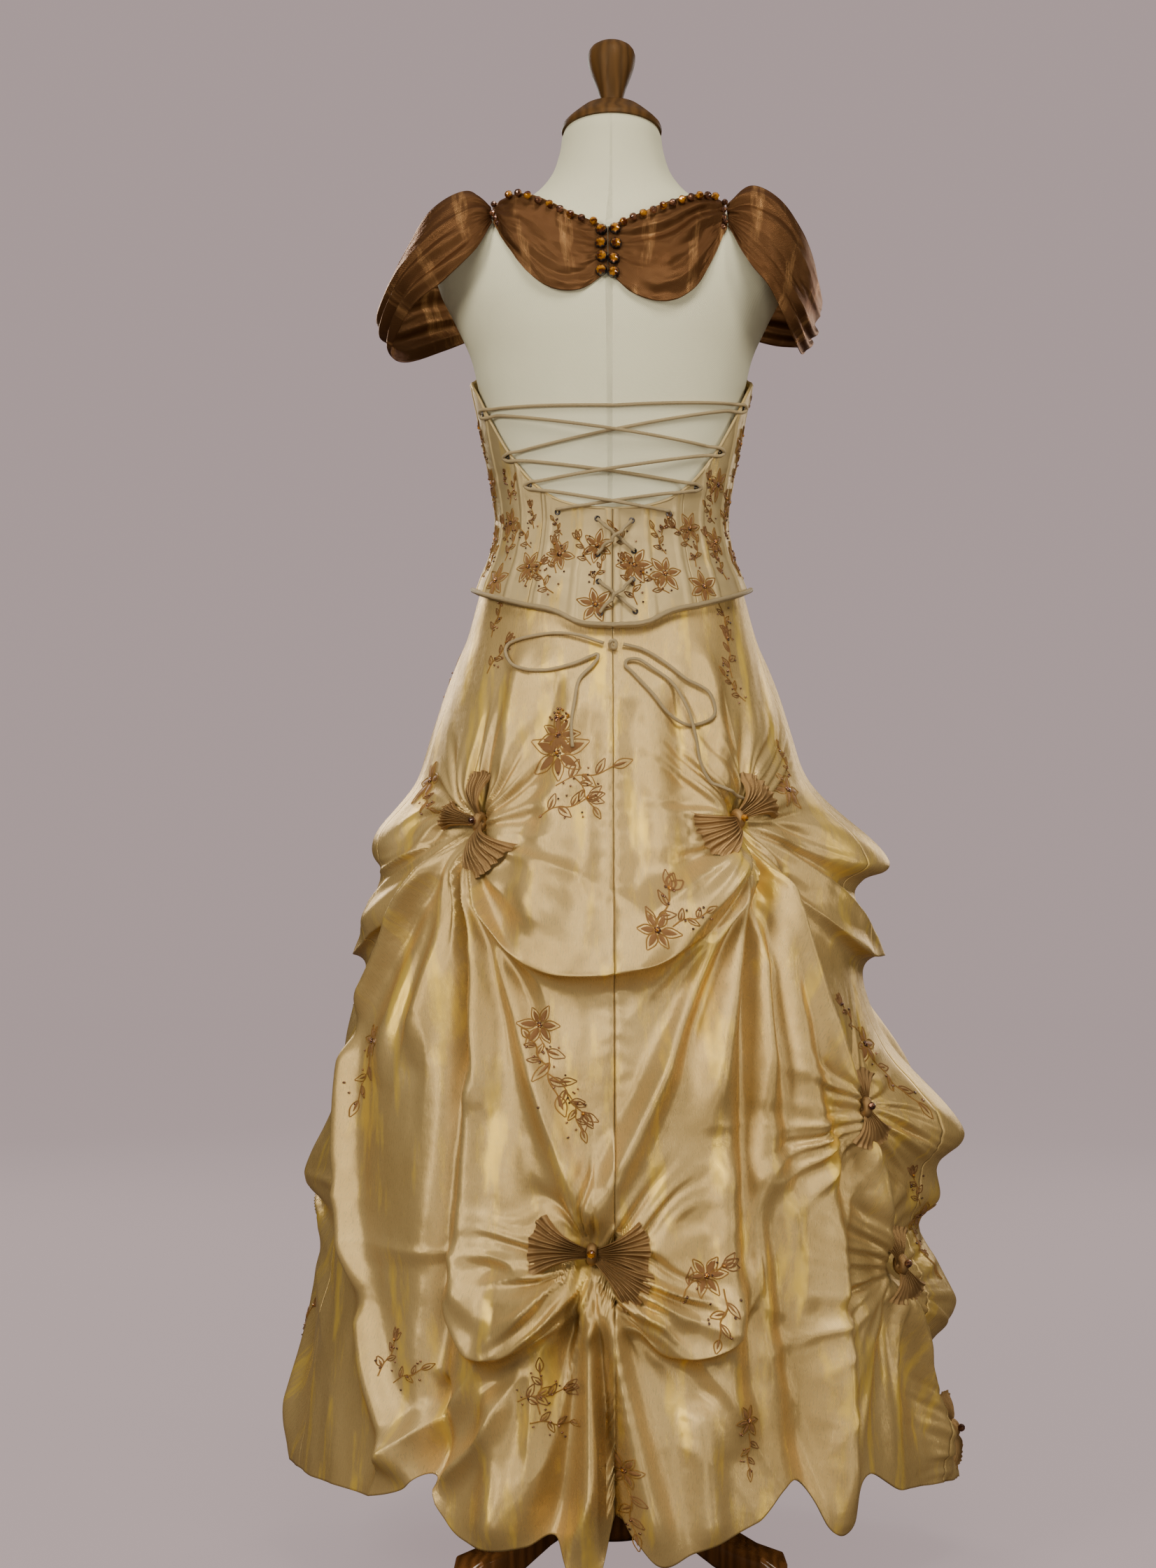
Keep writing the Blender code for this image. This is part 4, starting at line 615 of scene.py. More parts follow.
def lacing_chain(eyes, over):
    """A cord from the middle of the top strand down through its eyelets."""
    middle = (1.0 + math.copysign(0.06, eyes[0][0]), 1.247)
    route = strand(middle, (eyes[0][0], eyes[0][1] + EYE_REACH), 0.0)
    for begin, end in zip(eyes, eyes[1:]):
        turn_at = np.array([begin[0] + math.copysign(2.2, begin[0])])
        route += list(lace_point(turn_at, np.array([begin[1]]), np.array([LACE_LIFT])))
        route += strand((begin[0], begin[1] - EYE_REACH), (end[0], end[1] + EYE_REACH), over)
    return route


# Materials
def wire(tree, inputs, values):
    """Gives inputs, by name or number, their values, or links other nodes' outputs to them."""
    for key, value in values:
        if isinstance(value, bpy.types.NodeSocket):
            tree.links.new(value, inputs[key])
        elif inputs[key].type == "RGBA":
            inputs[key].default_value = (*value, 1.0)
        else:
            inputs[key].default_value = value


def node(tree, kind, values=(), **settings):
    """The outputs of a new shader node, which is set first and wired then."""
    made = tree.nodes.new(f"ShaderNode{kind}")
    for name, value in settings.items():
        setattr(made, name, value)
    wire(tree, made.inputs, values)
    return made.outputs


def calc(tree, operation, *values):
    """A sum, product or the like of values."""
    return node(tree, "Math", enumerate(values), operation=operation)[0]


def noise(tree, place, scale, detail=2.0, roughness=0.5):
    """Uneven values over a place."""
    return node(tree, "TexNoise", (("Vector", place), ("Scale", scale), ("Detail", detail),
                                   ("Roughness", roughness)))["Fac"]


def spread(tree, value, low, high, first=0.0, last=1.0):
    """A value brought from one range into another, and held inside it."""
    return node(tree, "MapRange", (("Value", value), ("From Min", low), ("From Max", high),
                                   ("To Min", first), ("To Max", last)))["Result"]


def blend(tree, share, first, last):
    """A colour that goes from the first to the last as the share grows."""
    return node(tree, "Mix", (("Factor", share), ("A", first), ("B", last)),
                data_type="RGBA")["Result"]


def bump(tree, height, strength, distance, under=()):
    """A normal raised by a height, over another bump's normal if there is one."""
    under = [("Normal", normal) for normal in under]
    return node(tree, "Bump", [("Height", height), ("Strength", strength),
                               ("Distance", distance)] + under)["Normal"]


def group_of(name, takes, gives):
    """A node group with named sockets, what comes into it and what goes out of it."""
    group = bpy.data.node_groups.new(name, "ShaderNodeTree")
    for way, sockets in (("INPUT", takes), ("OUTPUT", gives)):
        for label, kind in sockets:
            group.interface.new_socket(label, in_out=way, socket_type=f"NodeSocket{kind}")
    return (group, group.nodes.new("NodeGroupInput").outputs,
            group.nodes.new("NodeGroupOutput").inputs)


def placed(tree, build, *values):
    """The outputs of a node group that is built once and placed in each material."""
    group = bpy.data.node_groups.get(build.__name__) or build(build.__name__)
    return node(tree, "Group", values, node_tree=group)


def cloth_weave(name):
    """Fine threads and slubs over a cloth's own map, whose unit is a metre."""
    group, cloth_in, out = group_of(
        name, (("Cloth", "Vector"), ("Threads", "Float"), ("Slub Length", "Float")),
        (("Height", "Float"), ("Streaks", "Float")))
    parts = node(group, "SeparateXYZ", ((0, cloth_in["Cloth"]),))
    warp, weft = (calc(group, "SINE", calc(group, "MULTIPLY", parts[way], cloth_in["Threads"]))
                  for way in "XY")
    long_way = calc(group, "DIVIDE", parts["Y"], cloth_in["Slub Length"])
    stretched = node(group, "CombineXYZ", (("X", parts["X"]), ("Y", long_way)))[0]
    wire(group, out, (("Height", calc(group, "MULTIPLY", warp, weft)),
                      ("Streaks", noise(group, stretched, 700.0))))
    return group


def cloth_dye(name):
    """The uneven dye of a cloth."""
    group, cloth_in, out = group_of(name, (("Place", "Vector"),), (("Share", "Float"),))
    uneven = noise(group, cloth_in["Place"], 7.0, 4.0)
    wire(group, out, (("Share", spread(group, uneven, 0.30, 0.70)),))
    return group


def cloth_glints(name):
    """The mask of long smooth streaks along a cloth: glossier streaks whose colour is lightened as a
    painted highlight.
    """
    group, cloth_in, out = group_of(name, (("Cloth", "Vector"),), (("Share", "Float"),))
    stretched = node(group, "Mapping", (("Vector", cloth_in["Cloth"]), ("Scale", (34.0, 7.0, 1.0))))[0]
    streaks = noise(group, stretched, 1.0, 4.0, 0.62)
    wire(group, out, (("Share", spread(group, streaks, 0.53, 0.66)),))
    return group


def wood_grain(name):
    """Long wood grain that runs up and down, with pores."""
    group, wood_in, out = group_of(name, (("Place", "Vector"), ("Stretch", "Float")),
                                   (("Grain", "Float"), ("Pores", "Float")))
    parts = node(group, "SeparateXYZ", ((0, wood_in["Place"]),))
    along = calc(group, "DIVIDE", parts["Z"], wood_in["Stretch"])
    joined = node(group, "CombineXYZ", (("X", parts["X"]), ("Y", parts["Y"]), ("Z", along)))[0]
    rings = node(group, "TexWave", (("Vector", joined), ("Scale", 28.0), ("Distortion", 7.0),
                                    ("Detail", 3.0), ("Detail Scale", 1.4)),
                 wave_type="BANDS", bands_direction="X")["Fac"]
    wire(group, out, (("Grain", rings), ("Pores", noise(group, joined, 420.0))))
    return group


def bead_tones(name):
    """Cells that differ from bead to bead, and the share of the lighter colour in them."""
    group, bead_in, out = group_of(name, (("Place", "Vector"),),
                                   (("Cells", "Float"), ("Share", "Float")))
    cells = noise(group, bead_in["Place"], 160.0)
    wire(group, out, (("Cells", cells), ("Share", spread(group, cells, 0.42, 0.60))))
    return group


def finish(name, *values):
    """A material, its node tree, its shader's inputs, and places on the piece."""
    made = bpy.data.materials.new(name)
    made.use_nodes = True
    tree = made.node_tree
    shader = tree.nodes["Principled BSDF"].inputs
    wire(tree, shader, values)
    return made, tree, shader, node(tree, "TexCoord")["Object"]


def cloth_finish(name, colour, deep, rough, metal, edge=(1.0, 1.0, 1.0), glint=None,
                 threads=5200.0, slub=6.0, relief=0.25, crumple=0.0):
    """A woven cloth: threads, slubs, uneven dye and, for satin, small crumples and glossier streaks
    whose colour is a painted highlight.
    """
    made, tree, shader, place = finish(name, ("Metallic", metal), ("Specular Tint", edge))
    lie = node(tree, "UVMap", uv_map="cloth")[0]
    weave = placed(tree, cloth_weave, ("Cloth", lie), ("Threads", threads), ("Slub Length", slub))
    tone = blend(tree, placed(tree, cloth_dye, ("Place", place))["Share"], deep, colour)
    gloss = spread(tree, weave["Streaks"], 0.30, 0.70, rough * 0.86, min(1.0, rough * 1.16))
    if glint:
        # Painted highlight: along these streaks the base colour turns toward the bright glint colour,
        # and the roughness drops.
        share = placed(tree, cloth_glints, ("Cloth", lie))["Share"]
        tone = blend(tree, share, tone, glint)
        gloss = calc(tree, "MULTIPLY", gloss, spread(tree, share, 0.0, 1.0, 1.0, 0.62))
    normal = bump(tree, weave["Height"], relief, 0.0003)
    normal = bump(tree, weave["Streaks"], relief * 0.2, 0.0004, (normal,))
    if crumple:
        normal = bump(tree, noise(tree, place, 28.0, 3.0), crumple, 0.006, (normal,))
    wire(tree, shader, (("Base Color", tone), ("Roughness", gloss), ("Normal", normal)))
    return made


def wood_finish(name, colour, deep, rough, coat):
    """A polished wood with its grain running up and down."""
    made, tree, shader, place = finish(
        name, ("Coat Weight", coat), ("Coat Roughness", 0.12), ("Specular IOR Level", 0.25),
        ("Specular Tint", (1.0, 0.72, 0.45)))
    grain = placed(tree, wood_grain, ("Place", place), ("Stretch", 7.0))
    gloss = spread(tree, grain["Pores"], 0.0, 1.0, rough * 0.7, rough * 1.3)
    wire(tree, shader, (("Base Color", blend(tree, grain["Grain"], deep, colour)),
                        ("Roughness", gloss), ("Normal", bump(tree, grain["Pores"], 0.12, 0.0006))))
    return made


def gem_finish(name, colour, deep, rough, metal, coat):
    """Cut glass or polished metal, uneven from bead to bead."""
    made, tree, shader, place = finish(name, ("Metallic", metal), ("Coat Weight", coat),
                                       ("Coat Roughness", 0.05))
    bead = placed(tree, bead_tones, ("Place", place))
    gloss = spread(tree, bead["Cells"], 0.0, 1.0, rough * 0.5, rough * 1.5)
    wire(tree, shader, (("Base Color", blend(tree, bead["Share"], deep, colour)), ("Roughness", gloss)))
    return made


# Each finish: how it is made, its colour, its deeper colour or that one's share, its values.
# A colour's name is the one in the sidebar.
FINISHES = {
    # The glint colours below are painted highlights, blended into the base colour along glossy streaks.
    "satin": (cloth_finish, "satin", "satin_deep", dict(
        rough=0.29, metal=0.42, crumple=0.26, edge=(1.0, 0.74, 0.34), glint=(0.78, 0.52, 0.10))),
    "bodice_satin": (cloth_finish, "bodice", 0.86, dict(
        rough=0.38, metal=0.35, relief=0.35, edge=(1.0, 0.76, 0.38), glint=(0.66, 0.44, 0.10))),
    "organza": (cloth_finish, "organza", "organza_deep", dict(
        rough=0.33, metal=0.55, threads=4200.0, slub=14.0, relief=0.5, edge=(0.80, 0.46, 0.22),
        glint=(0.34, 0.175, 0.065))),
    "bow_organza": (cloth_finish, "bow", 0.66, dict(
        rough=0.36, metal=0.45, threads=4200.0, slub=14.0, relief=0.5, edge=(0.90, 0.55, 0.25))),
    "linen": (cloth_finish, "linen", 0.93, dict(
        rough=0.85, metal=0.0, threads=3600.0, slub=3.0, relief=0.6)),
    "cord": (cloth_finish, "cord", 0.75, dict(
        rough=0.5, metal=0.2, threads=9000.0, slub=4.0, relief=0.7)),
    "gold_thread": (cloth_finish, "gold_thread", (0.36, 0.17, 0.03), dict(
        rough=0.34, metal=0.4, threads=7000.0, slub=0.2, relief=0.9)),
    "copper_thread": (cloth_finish, "copper_thread", (0.27, 0.12, 0.035), dict(
        rough=0.38, metal=0.3, threads=7000.0, slub=0.2, relief=0.9)),
    "wood": (wood_finish, "wood", 0.6, dict(rough=0.55, coat=0.0)),
    "dark_wood": (wood_finish, "dark_wood", 0.55, dict(rough=0.26, coat=0.5)),
    "amber": (gem_finish, (0.62, 0.25, 0.015), (0.10, 0.022, 0.003), dict(
        rough=0.10, metal=0.45, coat=1.0)),
    "copper_bead": (gem_finish, (0.34, 0.15, 0.07), (0.08, 0.03, 0.015), dict(
        rough=0.18, metal=0.75, coat=0.6)),
    "dark_metal": (gem_finish, (0.16, 0.14, 0.13), (0.05, 0.045, 0.04), dict(
        rough=0.28, metal=0.9, coat=0.0)),
}


def finish_of(kind):
    """A named finish, made once from the colours in the sidebar."""
    name = f"{kind}_finish"
    found = bpy.data.materials.get(name)
    if found:
        return found
    looks = bpy.context.scene.rococo_gown
    make, light, deep, values = FINISHES[kind]
    light, deep = (tuple(getattr(looks, tone)) if isinstance(tone, str) else tone
                   for tone in (light, deep))
    if isinstance(deep, float):
        deep = tuple(part * deep for part in light)
    return make(name, light, deep, **values)


# Making pieces
AXIS = np.array([AXIS_X, AXIS_Y, 0.0])


def dress(thing, finish, nodes=()):
    """Gives a piece its finish, the solids it stands for and its body."""
    thing.data.materials.clear()
    thing.data.materials.append(finish_of(finish))
    if nodes:
        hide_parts(*nodes)
    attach(thing, "root")
    return thing


def put(name, data, finish, nodes=()):
    """A new piece from a mesh that lies in its place."""
    thing = bpy.data.objects.new(name, data)
    bpy.context.scene.collection.objects.link(thing)
    return dress(thing, finish, nodes)


def mesh_of(name, points, faces, uv=None, smooth=True):
    """A mesh from points about the stand's axis, with a map in metres."""
    data = bpy.data.meshes.new(name)
    faces = faces.tolist() if isinstance(faces, np.ndarray) else faces
    data.from_pydata((np.asarray(points).reshape(-1, 3) + AXIS).tolist(), [], faces)
    if uv is not None:
        layer = data.uv_layers.new(name="cloth")
        corner = np.empty(len(data.loops), dtype=np.int32)
        data.loops.foreach_get("vertex_index", corner)
        layer.data.foreach_set("uv", uv.reshape(-1, 2)[corner].ravel())
    if smooth:
        data.shade_smooth()
    return data


def axes_of(out):
    """Axes to the right, up and out at a place that faces out."""
    right = np.cross((0.0, 0.0, 1.0), out)
    right /= np.linalg.norm(right)
    return np.stack([right, np.cross(out, right), out])


def grid_faces(rows, columns, closed=False, start=0):
    """Four-cornered faces over a grid of points, closed across its columns or not."""
    number = start + np.arange(rows * columns).reshape(rows, columns)
    if closed:
        number = np.concatenate([number, number[:, :1]], axis=1)
    return np.stack([number[:-1, :-1], number[:-1, 1:], number[1:, 1:], number[1:, :-1]],
                    axis=-1).reshape(-1, 4)


def lengths_map(points):
    """A map in metres from the lengths of a grid's rows and columns."""
    down = np.linalg.norm(np.diff(points, axis=1), axis=-1).mean(axis=0)
    across = np.linalg.norm(np.diff(points, axis=0), axis=-1).mean(axis=1)
    u = np.concatenate([[0.0], np.cumsum(across)])
    v = np.concatenate([[0.0], np.cumsum(down)])
    return np.stack(np.meshgrid(u, v, indexing="ij"), axis=-1)


def grid_normals(points):
    """The unit normals of a grid of points."""
    normal = np.cross(np.gradient(points, axis=0), np.gradient(points, axis=1))
    normal /= np.maximum(np.linalg.norm(normal, axis=-1, keepdims=True), 1e-12)
    return normal


def cloth(name, points, wall, turned_in, finish, nodes, uv=None, centre=(0, 0)):
    """A sheet through a grid of points, its four edges turned in by some grid steps."""
    rows, columns = points.shape[:2]
    normal = grid_normals(points)
    away = points[..., :2] - np.array(centre)
    outwards = np.sum(normal[..., :2] * away) > 0
    if not outwards:
        normal = -normal
    first, last, left, right = turned_in
    row = np.concatenate([[first, 0], np.arange(rows), [rows - 1, rows - 1 - last]])
    column = np.concatenate([[left, 0], np.arange(columns), [columns - 1, columns - 1 - right]])
    deep_row = np.zeros(len(row))
    deep_column = np.zeros(len(column))
    deep_row[[0, 1, -2, -1]] = deep_column[[0, 1, -2, -1]] = (1.3, 1.0, 1.0, 1.3)
    deep = wall * np.maximum(deep_row[:, None], deep_column[None, :])[..., None]
    pick = np.ix_(row, column)
    whole = points[pick] - normal[pick] * deep
    uv = (lengths_map(points) if uv is None else uv)[pick]
    faces = grid_faces(*whole.shape[:2])
    if outwards:
        faces = faces[:, ::-1]
    data = mesh_of(name, whole, faces, uv)
    return put(name, data, finish, nodes)


# The skirt
def gathers_out(turn, height):
    """Small pleats that run out of each pick-up."""
    width = through(SKIRT_SECTIONS, 1, height)
    out = np.zeros(np.broadcast(turn, height).shape)
    for number, (_, centre, middle, depth, _) in enumerate(PICK_UPS):
        x = np.radians(about_centre(turn - centre)) * width
        y = height - middle
        reach = np.hypot(x, y)
        angle = np.arctan2(x, -y)
        swirl = angle + 0.22 * np.sin(2.3 * angle + number)
        swirl = swirl + 0.5 * ripple(angle * 2 + 7, reach * 9, number)
        pleat = np.cos(13 * swirl + number) + 0.6 * np.cos(27 * swirl + 2 * number)
        body = np.exp(-((reach - 0.045) / 0.060)**2) * ease(0.004, 0.03, reach)
        out = out + 0.17 * depth * pleat * body
    return out


def fans_out(turn, height):
    """Folds that fan out below the pick-ups: sharp crests that soften lower down."""
    width = through(SKIRT_SECTIONS, 1, height)
    total = np.full(np.broadcast(turn, height).shape, 1e-9)
    out = 0.0 * total
    for number, (_, centre, middle, depth, _) in enumerate(PICK_UPS):
        x = np.radians(about_centre(turn - centre)) * width
        y = middle - height
        reach = np.hypot(x, y)
        angle = np.arctan2(x, y)
        long = 0.16 + 18 * max(depth - 0.006, 0.0)
        near = np.exp(-reach / 0.07)
        sway = 0.35 * ripple(angle * 3 + 9, reach / 0.1 + 5, number)
        fan = ripple(angle / 0.19 + 7.3 * number + sway, reach / 0.30 + number + 3, 40 + number)
        crest = 0.75 - 2.4 * np.abs(fan)
        along = ease(0.012, 0.09, reach) * (1 - ease(0.55 * long, long, reach))
        aside = 1 - ease(1.15, 1.75, np.abs(angle))
        out = out + near * crest * along * aside * min(1.0, depth / 0.016)
        total = total + near
    return FAN_DEPTH * out / total


def swag_sag(turn, height):
    """How far the swags' lips and the puffs hang down over the cloth below them."""
    turn = about_centre(turn)
    width = through(SKIRT_SECTIONS, 1, height)
    drop = np.zeros(np.broadcast(turn, height).shape)
    for start, high, end, right_high, deep, size, reach in SWAGS:
        share = swag_share(turn, start, end)
        line = swag_line(share, high, right_high, deep)
        line = line + 0.006 * ripple(share * 7 + 3, share * 0 + 5.5, 73)
        above = (height - line) / reach
        spread = np.where(above > 0.05, 0.45, 0.19)
        body = np.exp(-((above - 0.05) / spread)**2)
        uneven = 1.0 + 0.70 * ripple(share * 6 + 3, share * 0 + 30.5, 72)
        drop = drop + 0.66 * size * uneven * np.sin(np.pi * share)**0.8 * body
    for centre, middle, size, across, tall in PUFFS:
        round_x = np.radians(about_centre(turn - centre)) * width / across
        up = (height - middle) / tall
        drop = drop + 0.35 * size * np.exp(-round_x**2 - (up * 1.1)**2)
    return drop


def small_folds(turn, height):
    """Soft creases and crumples of the satin, longer up and down than across."""
    width = through(SKIRT_SECTIONS, 1, height)
    x = np.radians(about_centre(turn)) * width
    long_creases = ripple(x / 0.030 + 0.6 * ripple(x / 0.1, height / 0.1, 5) + 20,
                          height / 0.16 + 20, 11)
    cross = ripple((x + 0.5 * height) / 0.050 + 40, (height - 0.4 * x) / 0.022 + 40, 12)
    where = ease(-0.1, 0.7, ripple(x / 0.12 + 9, height / 0.12 + 9, 13))
    fine = ripple(x / 0.012 + 60, height / 0.05 + 60, 14)
    return 0.0016 * long_creases + 0.0011 * cross * where + 0.0004 * fine


def seam_pucker(turn, height):
    """Small puckers along the centre back seam."""
    x = np.radians(about_centre(turn)) * through(SKIRT_SECTIONS, 1, height)
    wave = np.sin(height / 0.0029 + 2.2 * ripple(x / 0.02, height / 0.03, 21))
    uneven = 0.6 + 0.6 * ripple(x / 0.05 + 3, height / 0.05, 22)
    return 0.0011 * wave * uneven * np.exp(-(x / 0.013)**2) - 0.0012 * np.exp(-(x / 0.003)**2)


def skirt_cloth(turn, height):
    """The skirt's surface with its small folds, pleats and hanging lips."""
    turn, height = np.broadcast_arrays(np.asarray(turn, float), np.asarray(height, float))
    point = skirt_point(turn, height)
    edge = through(BODICE_BOTTOM, 1, np.abs(about_centre(turn)))
    loose = ease(0.01, 0.09, edge - height)
    angle = np.radians(turn)
    direction = np.stack([np.sin(angle), -np.cos(angle), 0.0 * angle], axis=-1)
    extra = (gathers_out(turn, height) + fans_out(turn, height) + small_folds(turn, height)
             + seam_pucker(turn, height)) * loose
    point = point + direction * extra[..., None]
    point[..., 2] -= swag_sag(turn, height) * loose
    return point


def build_gore(name, start, end, columns, rows):
    """One gore, from its seam tucked under the bodice down to its turned-up hem."""
    half_gap = math.degrees(SEAM_GAP / 2 / WAIST_RADIUS)
    turn = np.linspace(start + half_gap, end - half_gap, columns + 1)[:, None]
    top = through(BODICE_BOTTOM, 1, np.abs(about_centre(turn))) + SKIRT_TUCK
    hem = through(HEM, 1, about_centre(turn))
    height = top + (hem - top) * np.linspace(0, 1, rows + 1)[None, :]
    turn = turn + 0.0 * height
    points = skirt_cloth(turn, height)
    uv = np.stack([skirt_reach(turn, height), height], axis=-1)
    piece = cloth(f"{name}_satin", points, SKIRT_WALL, (4, 4, 3, 6), "satin",
                  (name,), uv)
    across = math.radians(end - start) * through(SKIRT_SECTIONS, 1, 0.1) * FULLNESS


# The bodice
# Turns of the bones in their channels, the same on the left
BONES = (16.5, 33.0, 50.0, 71.0, 90.0, 108.0, 131.0, 150.0, 171.0)
CHANNEL_HALF = 0.0042
CHANNEL_HEIGHT = 0.0013
LACING_BONE = 0.0045       # how far the bone beside the lacing lies from the centre back
BODICE_ROUND = 0.135       # the bodice's mean radius, for lengths round it
SEAM_ROUND = 0.13          # its mean radius at the seams
SEWING_ROUND = 0.138       # its mean radius under the embroidery


def bodice_cloth(turn, height):
    """The bodice's surface: channels over the bones, and slight dents between them."""
    turn, height = np.broadcast_arrays(np.asarray(turn, float), np.asarray(height, float))
    side = np.abs(about_centre(turn))
    relief = 0.0 * side
    for bone in BONES:
        aside = np.radians(side - bone) * BODICE_ROUND / CHANNEL_HALF
        relief = np.maximum(relief, CHANNEL_HEIGHT * np.sqrt(np.clip(1 - aside**2, 0, 1)))
    aside = (np.radians(side) * BODICE_ROUND - LACING_BONE) / CHANNEL_HALF
    relief = np.maximum(relief, CHANNEL_HEIGHT * np.sqrt(np.clip(1 - aside**2, 0, 1)))
    x = np.radians(about_centre(turn)) * BODICE_ROUND
    crease = 0.0005 * ripple(x / 0.02 + 30, height / 0.009 + 30, 31)
    return off_form(turn, height, bodice_ease(turn, height) + BODICE_WALL + relief + crease)


def build_panel(name, start, end):
    """One boned panel."""
    gap = math.degrees(SEAM_GAP / 2 / SEAM_ROUND)
    columns = int((end - start) * 1.6)
    turn = np.linspace(start + gap, end - gap, columns + 1)[:, None]
    side = np.abs(about_centre(turn))
    low, high = through(BODICE_BOTTOM, 1, side), through(BODICE_TOP, 1, side)
    height = high + (low - high) * np.linspace(0, 1, 71)[None, :]
    turn = turn + 0.0 * height
    points = bodice_cloth(turn, height)
    piece = cloth(f"{name}_satin", points, BODICE_WALL * 0.8, (3, 3, 3, 3), "bodice_satin",
                  (name,))


def round_tube(path, radius, sides, closed=False, strands=0):
    """Rings of points along a path: a plain round tube, or a cord of twisted strands."""
    path = np.asarray(path, float)
    tangent = np.roll(path, -1, 0) - np.roll(path, 1, 0) if closed else np.gradient(path, axis=0)
    tangent /= np.linalg.norm(tangent, axis=1, keepdims=True)
    side = np.cross(tangent[0], (0.3, 0.2, 1.0))
    frames = []
    for direction in tangent:
        side = side - direction * (side @ direction)
        side = side / np.linalg.norm(side)
        frames.append((side, np.cross(direction, side)))
    steps = np.linalg.norm(np.diff(path, axis=0), axis=1)
    along = np.concatenate([[0.0], np.cumsum(steps)])
    angle = np.linspace(0, 2 * math.pi, sides, endpoint=False)
    size = np.full((len(path), sides), radius, float)
    if strands:
        twist = angle[None, :] * strands / 2 - math.pi * along[:, None] * strands / CORD_PITCH
        size = radius * (1 - CORD_GROOVE + CORD_GROOVE * np.abs(np.sin(twist)))
    first = np.array([f[0] for f in frames])[:, None, :]
    second = np.array([f[1] for f in frames])[:, None, :]
    ring = first * np.cos(angle)[None, :, None] + second * np.sin(angle)[None, :, None]
    points = path[:, None, :] + ring * size[..., None]
    uv = np.stack(np.broadcast_arrays(angle[None, :] * radius, along[:, None]), axis=-1)
    return points, uv


def capped_faces(rings, sides):
    """The faces of a tube whose ends close on two points that follow its rings."""
    faces = grid_faces(rings, sides, True)[:, ::-1].tolist()
    middle, last = rings * sides, (rings - 1) * sides
    for k in range(sides):
        after = (k + 1) % sides
        faces += [(middle, k, after), (middle + 1, last + after, last + k)]
    return faces


def cord_piece(name, path, radius, finish, nodes, closed=False, strands=2):
    """A twisted cord along a path, with its ends closed where it isn't a ring."""
    points, uv = round_tube(path, radius, CORD_SIDES, closed, strands)
    rings = len(points)
    if closed:
        faces = grid_faces(rings + 1, CORD_SIDES, True)[:, ::-1] % (rings * CORD_SIDES)
        return put(name, mesh_of(name, points, faces, uv), finish, nodes)
    points = np.concatenate([points.reshape(-1, 3), [path[0], path[-1]]])
    uv = np.concatenate([uv.reshape(-1, 2), uv[0, :1], uv[-1, :1]])
    data = mesh_of(name, points, capped_faces(rings, CORD_SIDES), uv)
    return put(name, data, finish, nodes)


def surface_from(grids):
    """The faces of some grids of points, for laying things on them."""
    corners, faces, start = [], [], 0
    for grid in grids:
        rows, columns = grid.shape[:2]
        corners.append(grid.reshape(-1, 3))
        quads = grid_faces(rows, columns, False, start)
        faces.append(quads[:, [0, 1, 2]])
        faces.append(quads[:, [0, 2, 3]])
        start += rows * columns
    return BVHTree.FromPolygons(np.concatenate(corners).tolist(), np.concatenate(faces).tolist())


# The camera, the lamps (place, aim, size, power, colour) and the room
CAMERA_DISTANCE = 3.6
CAMERA_SIDE = -0.037
CAMERA_HEIGHT = 0.8416
VIEW_HEIGHT = 1.723
LAMPS = (
    ("lamp_left", (-2.1, -2.8, 2.3), (0.0, 0.0, 0.8), (0.9, 1.3), 88.0, (1.0, 0.96, 0.90)),
    ("lamp_right", (2.9, -1.7, 1.7), (0.0, 0.0, 0.7), (0.4, 1.5), 34.0, (1.0, 0.95, 0.86)),
    ("lamp_top", (0.3, -1.7, 3.4), (0.0, 0.0, 0.7), (1.2, 1.0), 50.0, (1.0, 0.97, 0.93)),
    ("lamp_low", (0.5, -3.6, 0.7), (0.0, 0.0, 0.5), (1.5, 0.9), 28.0, (1.0, 0.97, 0.93)),
    ("lamp_front_left", (-1.7, 3.2, 2.1), (0.0, 0.0, 0.9), (1.0, 1.4), 50.0, (1.0, 0.97, 0.93)),
    ("lamp_front_right", (2.0, 3.2, 1.6), (0.0, 0.0, 0.8), (1.0, 1.4), 26.0, (1.0, 0.97, 0.93)),
)
ROOM_COLOUR = (1.0, 0.95, 0.92)
ROOM_LIGHT = 0.42
PAPER_COLOUR = (0.11, 0.088, 0.086)
PAPER_GLOW = (0.440, 0.345, 0.345)
# The round backdrop: the floor's radius, its bend and its height
FLOOR_RADIUS = 8.0
FLOOR_BEND = 2.5
WALL_HEIGHT = 9.0

# Turned profiles, radius and height from the lower end up
CAP_PROFILE = (
    (0.0520, -0.0045), (0.0548, -0.0040), (0.0552, -0.001), (0.0538, 0.003), (0.0500, 0.0075),
    (0.0455, 0.012), (0.038, 0.019), (0.033, 0.0232), (0.026, 0.026), (0.020, 0.0285),
    (0.012, 0.0296), (0.008, 0.030),
)
KNOB_PROFILE = (
    (0.0122, 0.0), (0.0122, 0.003), (0.0125, 0.006), (0.0138, 0.011), (0.0155, 0.017),
    (0.0182, 0.0245), (0.021, 0.032), (0.0236, 0.0395), (0.0255, 0.047), (0.0262, 0.0525),
    (0.0262, 0.058), (0.0248, 0.063), (0.022, 0.067), (0.0175, 0.0702), (0.012, 0.0718), (0.005, 0.072),
)
POLE_PROFILE = (
    (POLE_RADIUS, HUB_TOP + SEAM_GAP), (POLE_RADIUS, 0.40), (POLE_RADIUS, 0.7597),
    (POLE_RADIUS * 2, 0.7677), (POLE_RADIUS * 2, 0.7797),
)
